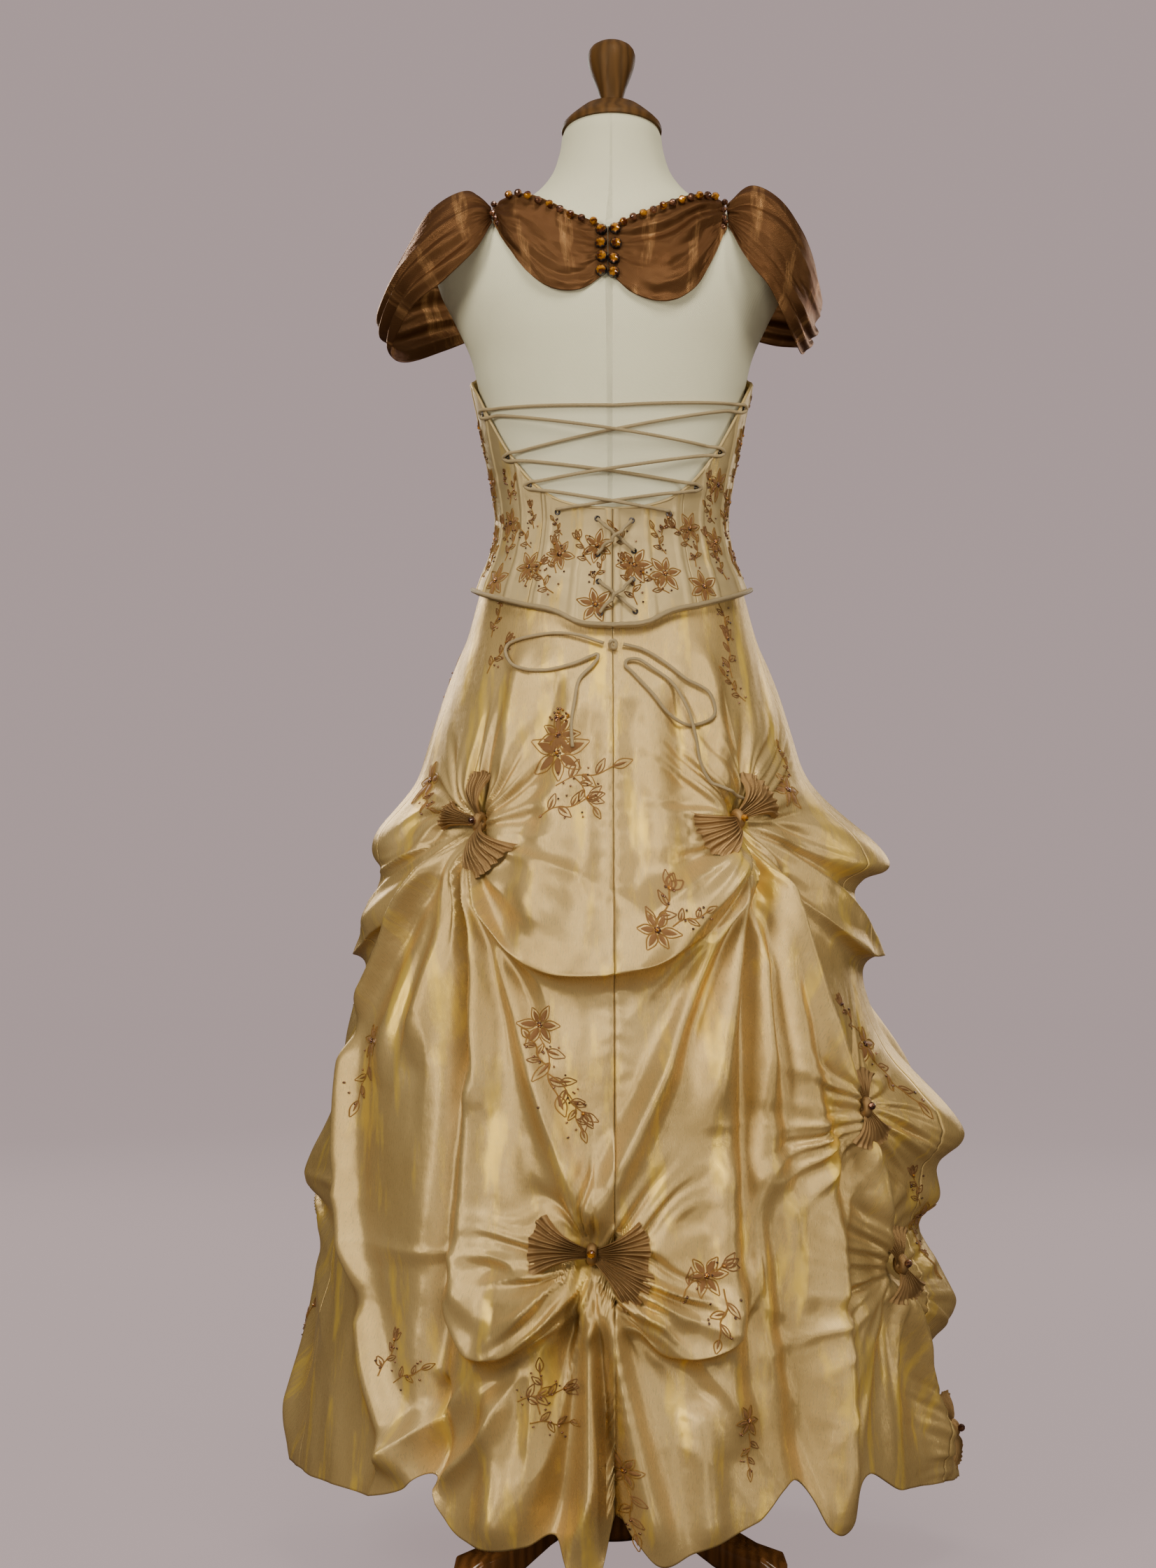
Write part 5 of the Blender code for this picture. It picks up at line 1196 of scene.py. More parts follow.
HUB_PROFILE = (
    (0.040, HUB_BOTTOM), (0.047, HUB_BOTTOM + 0.005), (HUB_RADIUS, HUB_BOTTOM + 0.012),
    (HUB_RADIUS, HUB_TOP - 0.018), (0.0505, HUB_TOP - 0.014), (0.044, HUB_TOP - 0.011),
    (0.038, HUB_TOP - 0.009), (0.036, HUB_TOP - 0.006), (0.033, HUB_TOP - 0.002), (0.026, HUB_TOP),
)


def form_grid(columns, rows):
    """The dress form's surface: its turns by its heights."""
    turn = np.linspace(0, 360, columns, endpoint=False)[:, None]
    height = np.linspace(FORM_SECTIONS[0][0], NECK_TOP, rows)[None, :]
    points = form_point(turn + 0.0 * height, height + 0.0 * turn)
    points[..., :2] *= (1 - 0.055 * ease(NECK_TOP - 0.012, NECK_TOP, height))[..., None]
    return points


def bodice_grid(start, end, columns, rows):
    """A panel's outer surface, for laying things on it."""
    turn = np.linspace(start, end, columns)[:, None]
    side = np.abs(about_centre(turn))
    low, high = through(BODICE_BOTTOM, 1, side), through(BODICE_TOP, 1, side)
    height = low + (high - low) * np.linspace(0, 1, rows)[None, :]
    return bodice_cloth(turn + 0.0 * height, height)


def skirt_grid(start, end, columns, rows, low=0.70):
    """A gore's outer surface from the waist down to a height."""
    turn = np.linspace(start, end, columns)[:, None]
    top = through(BODICE_BOTTOM, 1, np.abs(about_centre(turn))) + SKIRT_TUCK
    height = top + (low - top) * np.linspace(0, 1, rows)[None, :]
    return skirt_cloth(turn + 0.0 * height, height)


# The collar's drapes: name, edges, swell of the middle, columns of the mesh
DRAPES = (
    ("drape_back_left", BACK_SWAG_LEFT, 0.010, 110), ("drape_back_right", BACK_SWAG_RIGHT, 0.010, 110),
    ("drape_shoulder_left", SHOULDER_LEFT, 0.012, 180),
    ("drape_shoulder_right", SHOULDER_RIGHT, 0.012, 180),
    ("drape_front_right", FRONT_SWAG, 0.010, 90),
    ("drape_front_left", tuple((-a, b, c, -d, e, f) for a, b, c, d, e, f in FRONT_SWAG), 0.010, 90),
)


def drape_of(name):
    """The points of one of the collar's drapes."""
    looks = bpy.context.scene.rococo_gown
    edges, swell, columns = next(row[1:] for row in DRAPES if row[0] == name)
    return drape_grid(edges, looks.pleats, looks.pleat_depth, swell, columns, 70, len(name))


def drape_grid(edges, gathers, depth, swell, columns, rows, seed):
    """A swag of organza between its two edges, its pleats drawn in at both ends."""
    u = np.linspace(0, 1, columns)
    v = np.linspace(0, 1, rows)
    table = np.column_stack([np.linspace(0, 1, len(edges)), np.array(edges)])
    upper = np.stack([through(table, k, u) for k in (1, 2, 3)], axis=-1)
    lower = np.stack([through(table, k, u) for k in (4, 5, 6)], axis=-1)
    base = upper[:, None, :] + (lower - upper)[:, None, :] * v[None, :, None]
    way = np.cross(np.gradient(base, axis=0), np.gradient(base, axis=1))
    way /= np.linalg.norm(way, axis=-1, keepdims=True)
    facing = np.sign(np.sum(way * (base - np.array([0.0, 0.0, 1.40])), axis=-1).mean())
    way = way * facing
    body = np.sin(np.pi * u)[:, None] ** 0.6
    out = swell * body * np.sin(np.pi * (0.15 + 0.7 * v))[None, :]
    uu, vv = u[:, None] + 0.0 * v, v[None, :] + 0.0 * u[:, None]
    sway = vv + 0.09 * ripple(uu * 3 + seed, vv * 3, seed) * body
    soft = ripple(sway * gathers * 1.5 + 11, uu * 2.5 + 0.4 * ripple(vv * 4, uu * 4, seed) + 5, seed + 1)
    gathered = np.cos(2 * np.pi * gathers * 2.1 * sway + 2 * ripple(vv * 6 + 3, uu * 2, seed + 3))
    gathered = gathered * (0.6 + 0.5 * ripple(vv * 7, uu * 2 + 7, seed + 4)) * np.exp(-5 * body**2)
    ends = ease(-0.02, 0.05, u) * ease(-0.02, 0.05, 1 - u)
    folds = depth * (soft * (0.45 + 0.55 * body) + 0.34 * gathered) * ends[:, None]
    crumple = 0.0005 * ripple(uu * 18, vv * 22, seed + 2)
    outer = base + way * (out + folds + crumple)[..., None]
    return clear_of_form(outer, 0.0006 + ORGANZA_WALL)


def cut_stone():
    """A round stone of radius 1: a facetted crown over a narrower back."""
    rings = ((0.34, 0.92, 0.0), (0.78, 0.62, 22.5), (1.0, 0.12, 0.0), (1.0, -0.12, 22.5),
             (0.62, -0.75, 0.0))
    points = []
    for radius, z, shift in rings:
        angles = [math.radians(k * 45 + shift) for k in range(8)]
        points += [(radius * math.cos(angle), radius * math.sin(angle), z) for angle in angles]
    faces = [tuple(range(8))]
    for ring in range(len(rings) - 1):
        for k in range(8):
            a, b = ring * 8 + k, ring * 8 + (k + 1) % 8
            c, d = (ring + 1) * 8 + k, (ring + 1) * 8 + (k + 1) % 8
            if rings[ring + 1][2] > rings[ring][2]:
                faces += [(a, c, b), (b, c, d)]
            else:
                faces += [(a, d, b), (a, c, d)]
    last = (len(rings) - 1) * 8
    faces.append(tuple(last + k for k in range(7, -1, -1)))
    return np.array(points), faces


@functools.lru_cache(maxsize=None)
def skirt_surface():
    """The skirt's cloth as faces, for laying the bows on it."""
    return surface_from([skirt_grid(start, end, columns // 2, rows // 2, 0.07)
                         for _, start, end, columns, rows in SKIRT_GORES])


def bow_bed(flat, base, spot):
    """How far the cloth lies above or below a bow's own plane at each of its points."""
    surface, out = skirt_surface(), Vector(base[2])
    places = flat @ base[:2] + spot
    bed = np.zeros(flat.shape[:2])
    for index in np.ndindex(bed.shape):
        hit = surface.ray_cast(Vector(places[index]) + out * 0.12, -out, 0.2)[0]
        bed[index] = (hit - Vector(places[index])).dot(out) if hit else -0.004
    bed = np.clip(bed, -0.03, 0.03)
    smooth = bed
    for _ in range(30):
        around = np.pad(smooth, 1, mode="edge")
        smooth = (around[:-2, 1:-1] + around[2:, 1:-1] + around[1:-1, :-2] + around[1:-1, 2:]
                  + smooth) / 5
    return smooth, bed


def bow_place(name, turn, height):
    """A bow's own axes (right, up, out) and the place of its knot on the cloth."""
    facing, lift = ROSETTES.get(name, (turn, 0.0))
    angle = math.radians(facing)
    out = Vector((math.sin(angle), -math.cos(angle), 0.0))
    lean = math.radians(9.0)
    out = (out * math.cos(lean) + Vector((0.0, 0.0, 1.0)) * math.sin(lean)).normalized()
    right = Vector((math.cos(angle), math.sin(angle), 0.0))
    base = np.array(Matrix((right, out.cross(right), out)))
    return base, np.array(lay(skirt_surface(), turn, height, 0.0)) + base[2] * lift


def bow_mesh(name, lobes, base, spot, seed):
    """Lobes of fine pleats, spreading from a bound knot, as one piece."""
    points, faces = [], []
    count = 0
    for number, (direction, length, half) in enumerate(lobes):
        angle = math.radians(direction)
        along = np.array([math.cos(angle), math.sin(angle)])
        aside = np.array([-along[1], along[0]])
        u = np.linspace(0.0, 1.0, 26)[:, None]
        v = np.linspace(-1.0, 1.0, 61)[None, :]
        fan = np.arctan2(half * 1.08, length) * v
        tip = 1.0 + 0.045 * ripple(v * 6 + number * 9 + 30, v * 0 + 2.5, seed) - 0.05 * v * v
        reach = length * 1.08 * u * tip
        x = reach * np.cos(fan * (0.35 + 0.65 * u))
        y = reach * np.sin(fan * (0.35 + 0.65 * u)) + 0.0045 * v * (1 - u)
        pleats = np.cos(np.pi * 9 * (v + 0.04 * ripple(v * 5 + 9, u * 2, seed + 1)))
        z = (0.010 + 0.0115 * np.sin(np.pi * np.minimum(1.0, u * 1.1)) - 0.004 * u
             + 0.0021 * pleats * np.minimum(1.0, u * 3)
             + 0.0012 * ripple(u * 4 + 3, v * 4 + 3, seed + 2))
        z = z - 0.004 * v * v * u
        flat = along[None, None, :] * x[..., None] + aside[None, None, :] * y[..., None]
        z = z - 0.006 * (1 - u)
        if name.partition("_organza")[0] in ROSETTES:
            z = 0.008 + 0.5 * (z - 0.008)
        else:
            smooth, bed = bow_bed(flat, base, spot)
            z = np.maximum(smooth + z, np.minimum(bed, smooth + 0.010) + 0.0012)
        grid = np.concatenate([flat, z[..., None]], axis=-1) @ base + spot
        rows, columns = grid.shape[:2]
        points.append(grid.reshape(-1, 3))
        faces += grid_faces(rows, columns, False, count).tolist()
        count += rows * columns
    knot, _ = round_tube(
        np.array([(0.0, 0.0065 * math.cos(t), 0.008 + 0.005 * math.sin(t))
                  for t in np.linspace(0, 2 * math.pi, 24, endpoint=False)]) @ base + spot,
        0.0052, 12, True)
    faces += (grid_faces(25, 12, True)[:, ::-1] % (24 * 12) + count).tolist()
    points.append(knot.reshape(-1, 3))
    whole = np.concatenate(points)
    return mesh_of(name, whole, faces, ((whole - spot) @ base.T)[:, :2])


class Stitches:
    """Small raised shapes of one thread on one cloth, gathered and laid at once."""

    def __init__(self):
        self.parts, self.faces, self.count = [], [], 0

    def add(self, turn, height, shape):
        """Adds a shape round a place on the cloth: its x, y, lift and map, and its faces."""
        corners, faces = shape
        place = np.broadcast_to(np.array([turn, height]), (len(corners), 2))
        self.parts.append(np.concatenate([place, corners], axis=1))
        self.faces += (np.asarray(faces) + self.count).tolist()
        self.count += len(corners)

    def points(self, surface, width_at):
        """Where the shapes' corners lie on the cloth, and their map."""
        turn, height, x, y, lift, u, v = np.concatenate(self.parts).T
        turns, heights = turn + np.degrees(x / width_at(height + y)), height + y
        point = surface(turns, heights) + outward(surface, turns, heights) * lift[:, None]
        return point, np.stack([u, v], axis=-1)


def corners_of(*columns):
    """Corner rows of x, y, lift, u and v from grids of the same shape."""
    return np.stack([column.ravel() for column in np.broadcast_arrays(*columns)], axis=-1)


def petal(x, y, angle, length, width, tip=0.75):
    """A raised leaf or petal from (x, y), running at an angle, in satin stitch."""
    t = np.linspace(0, 1, 7)[:, None]
    s = np.linspace(-1, 1, 5)[None, :]
    along, across = t * length + 0.0 * s, width / 2 * np.sin(np.pi * t**tip)**0.8 * s
    c, d = math.cos(angle), math.sin(angle)
    lift = 0.0003 + 0.0012 * (1 - s**2) * np.sqrt(np.sin(np.pi * t))
    return (corners_of(x + along * c - across * d, y + along * d + across * c, lift, along, across),
            grid_faces(7, 5)[:, ::-1])


def stem(places, width):
    """A raised line of stem stitch through some places."""
    count = min(5 * len(places), 26)
    route = np.array(smooth_path([(a, b, 0.0) for a, b in places], count))[:, :2]
    way = np.gradient(route, axis=0)
    way /= np.linalg.norm(way, axis=1, keepdims=True)
    s = np.array([[-1.0, 0.0, 1.0]])
    x = route[:, :1] - way[:, 1:] * s * width / 2
    y = route[:, 1:] + way[:, :1] * s * width / 2
    along = np.arange(len(route))[:, None] * 0.002
    return (corners_of(x, y, 0.0002 + 0.0009 * (1 - s**2), along, s * width),
            grid_faces(len(route), 3)[:, ::-1])


def outline(x, y, angle, length, width):
    """A leaf or petal drawn as a line of stem stitch."""
    t = np.linspace(0, 1, 7)
    side = width / 2 * np.sin(np.pi * t**0.8)
    along = np.concatenate([t, t[-2::-1]]) * length
    across = np.concatenate([side, -side[-2::-1]])
    c, d = math.cos(angle), math.sin(angle)
    return stem(list(zip(x + along * c - across * d, y + along * d + across * c)), 0.0012)


def seed_bead(x, y, radius):
    """A small round bead sewn at (x, y)."""
    size, high = np.array([[0.0, 0.95], [0.75, 0.7], [1.0, 0.15], [0.7, -0.4]]).T[:, :, None]
    angle = np.arange(6)[None, :] * math.pi / 3
    return (corners_of(x + radius * size * np.cos(angle), y + radius * size * np.sin(angle),
                       radius * (high + 0.7), x, y), grid_faces(4, 6, True)[:, ::-1])


def spray(work, turn, height, kind, size, lean):
    """One embroidered motif: a flower, a leafy sprig, a bud or a big flower head."""
    random = np.random.default_rng(int(abs(turn) * 100 + height * 1000))
    angle = math.radians(lean)

    def sew(thread, shape):
        work[thread].add(turn, height, shape)
    if kind in ("flower", "head"):
        petals = 6 if kind == "flower" else 7
        for k in range(petals):
            way = angle + 2 * math.pi * k / petals + random.uniform(-0.15, 0.15)
            long = size * random.uniform(0.42, 0.55)
            x, y = 0.1 * size * math.cos(way), 0.1 * size * math.sin(way)
            sew("copper_thread", petal(x, y, way, long * 0.86, long * 0.34))
            sew("gold_thread", outline(x, y, way, long * 1.1, long * 0.56))
        for k in range(5):
            way = 2 * math.pi * k / 5
            x, y = 0.06 * size * math.cos(way), 0.06 * size * math.sin(way)
            sew("copper_bead", seed_bead(x, y, 0.0014))
        sew("amber", seed_bead(0.0, 0.0, 0.0019))
        for k in range(26 if kind == "head" else 0):
            way, out = random.uniform(0.6, 2.6), random.uniform(0.30, 0.95)
            x, y = 0.55 * size * out * math.cos(way), size * (0.25 + 0.5 * out * math.sin(way))
            sew("amber" if k % 3 else "copper_bead", seed_bead(x, y, 0.0015))
        return
    c, d = math.cos(angle), math.sin(angle)

    def turned(a, b):
        return size * (a * c - b * d), size * (a * d + b * c)
    sew("gold_thread", stem([turned(0, 0), turned(0.35, 0.10), turned(0.7, 0.04), turned(1.0, 0.12)],
                            0.0014))
    for a, b, way, long in ((0.25, 0.08, 1.0, 0.30), (0.45, 0.10, -0.9, 0.30), (0.70, 0.05, 0.9, 0.26),
                            (1.0, 0.12, 0.1, 0.32)):
        x, y = turned(a, b)
        thread = "copper_thread" if way > 0.5 or kind == "bud" else "gold_thread"
        sew(thread, outline(x, y, angle + way, size * long * 1.15, size * long * 0.5))
        sew("copper_thread", petal(x, y, angle + way, size * long * 0.8, size * long * 0.16))
    if kind == "bud":
        x, y = turned(1.05, 0.12)
        for k in range(3):
            sew("copper_thread", outline(x, y, angle + 0.5 * (k - 1), size * 0.36, size * 0.15))
        sew("amber", seed_bead(x, y, 0.0016))
    for _ in range(6):
        x, y = turned(random.uniform(0.0, 1.1), random.uniform(-0.3, 0.35))
        sew("copper_bead", seed_bead(x, y, 0.0012))


# Embroidery on the skirt: turn, height, kind, size, lean
SKIRT_SPRAYS = (
    (-55.0, 1.000, "sprig", 0.034, 80), (-50.0, 0.960, "bud", 0.034, 60),
    (54.0, 0.996, "sprig", 0.040, 95), (47.0, 0.955, "bud", 0.042, 70),
    (50.0, 0.930, "sprig", 0.034, 120), (-17.0, 0.874, "flower", 0.052, 30),
    (-17.2, 0.893, "head", 0.040, 0), (-16.5, 0.840, "sprig", 0.062, 12),
    (-21.0, 0.808, "bud", 0.052, 14), (-12.0, 0.850, "sprig", 0.040, -60),
    (-68.0, 0.846, "flower", 0.034, 10), (-66.0, 0.830, "sprig", 0.030, -30),
    (60.0, 0.836, "flower", 0.032, 0), (66.0, 0.850, "sprig", 0.030, 100),
    (9.0, 0.712, "flower", 0.030, 0), (8.0, 0.705, "bud", 0.044, 60),
    (12.0, 0.716, "sprig", 0.034, 20), (-61.0, 0.570, "flower", 0.030, 0),
    (-61.0, 0.556, "sprig", 0.050, -110), (-15.8, 0.596, "flower", 0.034, 0),
    (-15.6, 0.584, "sprig", 0.062, -74), (-12.8, 0.548, "bud", 0.050, -55),
    (-9.0, 0.528, "sprig", 0.038, -75), (-13.4, 0.556, "sprig", 0.034, 120),
    (66.0, 0.566, "flower", 0.032, 0), (67.0, 0.552, "sprig", 0.044, -60),
    (64.0, 0.580, "bud", 0.034, 120), (80.0, 0.384, "flower", 0.034, 0),
    (78.0, 0.372, "sprig", 0.042, -70), (76.0, 0.400, "bud", 0.034, 110),
    (16.4, 0.352, "flower", 0.030, 0), (11.4, 0.338, "bud", 0.046, 20),
    (19.0, 0.340, "sprig", 0.040, -110), (-47.5, 0.232, "bud", 0.036, 70),
    (-45.0, 0.226, "sprig", 0.036, 20), (-17.0, 0.224, "bud", 0.044, 8),
    (-13.0, 0.212, "sprig", 0.042, 85), (-14.5, 0.204, "sprig", 0.036, -10),
    (1.4, 0.160, "flower", 0.030, 0), (1.6, 0.148, "sprig", 0.050, -85),
    (23.0, 0.204, "flower", 0.026, 0), (23.0, 0.192, "sprig", 0.036, -95),
    (100.0, 0.940, "sprig", 0.040, 90), (96.0, 0.620, "bud", 0.046, 60),
    (104.0, 0.230, "flower", 0.034, 0), (-92.0, 0.930, "sprig", 0.040, 90),
    (-95.0, 0.600, "flower", 0.034, 0), (-96.0, 0.588, "sprig", 0.05, -80),
    (-98.0, 0.220, "bud", 0.046, 60), (165.0, 0.880, "flower", 0.046, 0),
    (166.0, 0.860, "sprig", 0.056, -80), (196.0, 0.830, "bud", 0.050, 60),
    (150.0, 0.950, "sprig", 0.040, 90), (212.0, 0.960, "sprig", 0.040, 80),
    (172.0, 0.560, "flower", 0.036, 0), (173.0, 0.545, "sprig", 0.056, -70),
    (196.0, 0.600, "bud", 0.048, 100), (150.0, 0.200, "flower", 0.034, 0),
    (184.0, 0.180, "bud", 0.044, 90), (216.0, 0.240, "sprig", 0.046, 60),
    (128.0, 0.480, "flower", 0.034, 0), (232.0, 0.460, "bud", 0.044, 80),
)
# Turns between the bones, where the bodice's flowers climb
SPRAY_TURNS = (8.5, 24.5, 41.0, 60.0, 80.5, 99.0, 119.5, 140.5, 160.5, 176.0)


def bodice_sprays():
    """Flowers, buds and sprigs that climb each side of the bodice between its bones."""
    random = np.random.default_rng(4)
    rows = []
    for side in (1, -1):
        for number, turn in enumerate(SPRAY_TURNS):
            near = np.clip(turn + np.array([-9.0, -4.5, 0.0, 4.5, 9.0]), 0, 180)
            low = float(through(BODICE_BOTTOM, 1, near).max()) + 0.017
            high = float(through(BODICE_TOP, 1, near).min()) - 0.019
            places = np.arange(low, high, 0.0215)
            for k, height in enumerate(places):
                kind = ("flower", "sprig", "bud")[(k + number + (side > 0)) % 3]
                size = random.uniform(0.026, 0.033)
                if kind != "flower":
                    size = min(size, (high + 0.012 - height) / 1.2)
                if size < 0.012:
                    continue
                lean = 90 + random.uniform(-45, 45)
                rows.append((side * (turn + random.uniform(-1.5, 1.5)), float(height), kind, size, lean))
    return rows


def colour(name, description, default):
    """A colour that a user would change."""
    return bpy.props.FloatVectorProperty(name=name, description=description, subtype="COLOR",
                                         size=3, min=0.0, max=1.0, default=default)


def length(name, description, default, low, high):
    """A size in metres that a user would change."""
    return bpy.props.FloatProperty(name=name, description=description, unit="LENGTH",
                                   min=low, max=high, default=default)


class GownLooks(bpy.types.PropertyGroup):
    """Sizes and colours that a user would change."""
    satin: colour("Satin", "The skirt where light falls on it", (0.56, 0.390, 0.155))
    satin_deep: colour("Satin, deeper", "The darker parts of the satin's dye", (0.44, 0.290, 0.100))
    bodice: colour("Bodice satin", "The bodice's cloth", (0.52, 0.385, 0.180))
    organza: colour("Organza", "The collar's drapes", (0.130, 0.062, 0.024))
    organza_deep: colour("Organza, deeper", "The darker parts of the organza", (0.075, 0.030, 0.010))
    bow: colour("Bows", "The bows' organza", (0.33, 0.195, 0.075))
    linen: colour("Linen", "The dress form's cover", (0.80, 0.755, 0.50))
    cord: colour("Cord", "The lacing and the waist cord", (0.54, 0.40, 0.20))
    gold_thread: colour("Gold thread", "Stems and the light parts of the embroidery",
                        (0.52, 0.28, 0.07))
    copper_thread: colour("Copper thread", "Petals and leaves of the embroidery",
                          (0.41, 0.205, 0.070))
    wood: colour("Wood", "The neck cap and the finial", (0.095, 0.043, 0.011))
    dark_wood: colour("Dark wood", "The pole, hub and legs", (0.24, 0.092, 0.024))
    pleats: bpy.props.IntProperty(
        name="Collar pleats", description="Pleats across each of the collar's drapes",
        default=5, min=2, max=16)
    pleat_depth: length("Pleat depth", "How deep the collar's pleats are", 0.0050, 0.0, 0.008)
    neck_bead: length("Neck bead", "Radius of the beads along the collar", 0.0046, 0.002, 0.006)
    clasp_gem: length("Clasp gem", "Radius of the clasp's cut stones", 0.0056, 0.002, 0.008)


class GOWN_OT_stage(bpy.types.Operator):
    """Sets the camera, the floor that curves up to a backdrop, and soft lamps"""
    bl_idname = "gown.stage"
    bl_label = "Stage, lamps and camera"

    def execute(self, context):
        view = bpy.data.cameras.new("camera")
        view.sensor_width = 36.0
        view.lens = 36.0 * CAMERA_DISTANCE / VIEW_HEIGHT
        view.clip_start, view.clip_end = 0.1, 50.0
        camera = bpy.data.objects.new("camera", view)
        camera.location = (AXIS_X + CAMERA_SIDE, AXIS_Y - CAMERA_DISTANCE, CAMERA_HEIGHT)
        camera.rotation_euler = (math.radians(90.0), 0.0, 0.0)
        context.scene.collection.objects.link(camera)
        context.scene.camera = camera
        self.backdrop(context)
        for name, place, aim, size, power, colour in LAMPS:
            lamp = bpy.data.lights.new(name, "AREA")
            lamp.shape = "RECTANGLE"
            lamp.size, lamp.size_y = size
            lamp.energy, lamp.color = power, colour
            thing = bpy.data.objects.new(name, lamp)
            thing.location = place
            thing.visible_camera = False
            way = Vector(aim) - Vector(place)
            thing.rotation_euler = way.to_track_quat("-Z", "Y").to_euler()
            context.scene.collection.objects.link(thing)
        world = bpy.data.worlds.new("studio")
        world.use_nodes = True
        world.node_tree.nodes["Background"].inputs["Color"].default_value = (*ROOM_COLOUR, 1.0)
        world.node_tree.nodes["Background"].inputs["Strength"].default_value = ROOM_LIGHT
        context.scene.world = world
        return {"FINISHED"}

    def backdrop(self, context):
        """A round floor that curves up into a plain wall all the way round."""
        rim = [(0.05, 0.0), (2.0, 0.0), (FLOOR_RADIUS, 0.0)]
        rim += [(FLOOR_RADIUS + FLOOR_BEND * math.sin(a), FLOOR_BEND - FLOOR_BEND * math.cos(a))
                for a in np.linspace(0, math.pi / 2, 17)[1:]]
        rim = np.array(rim + [(FLOOR_RADIUS + FLOOR_BEND, WALL_HEIGHT)])
        angle = np.linspace(0, 2 * math.pi, 96, endpoint=False)
        points = np.stack([rim[:, :1] * np.cos(angle), rim[:, :1] * np.sin(angle),
                           rim[:, 1:] + 0.0 * angle], axis=-1).reshape(-1, 3)
        data = bpy.data.meshes.new("backdrop")
        faces = grid_faces(len(rim), 96, True)[:, ::-1].tolist() + [list(range(96))]
        data.from_pydata(points.tolist(), [], faces)
        data.shade_smooth()
        floor = bpy.data.objects.new("backdrop", data)
        context.scene.collection.objects.link(floor)
        paper = bpy.data.materials.new("backdrop")
        paper.use_nodes = True
        shader = paper.node_tree.nodes["Principled BSDF"]
        shader.inputs["Base Color"].default_value = (*PAPER_COLOUR, 1.0)
        shader.inputs["Roughness"].default_value = 0.9
        shader.inputs["Specular IOR Level"].default_value = 0.1
        shader.inputs["Emission Color"].default_value = (*PAPER_GLOW, 1.0)
        seen = paper.node_tree.nodes.new("ShaderNodeLightPath")
        paper.node_tree.links.new(seen.outputs["Is Camera Ray"], shader.inputs["Emission Strength"])
        data.materials.append(paper)


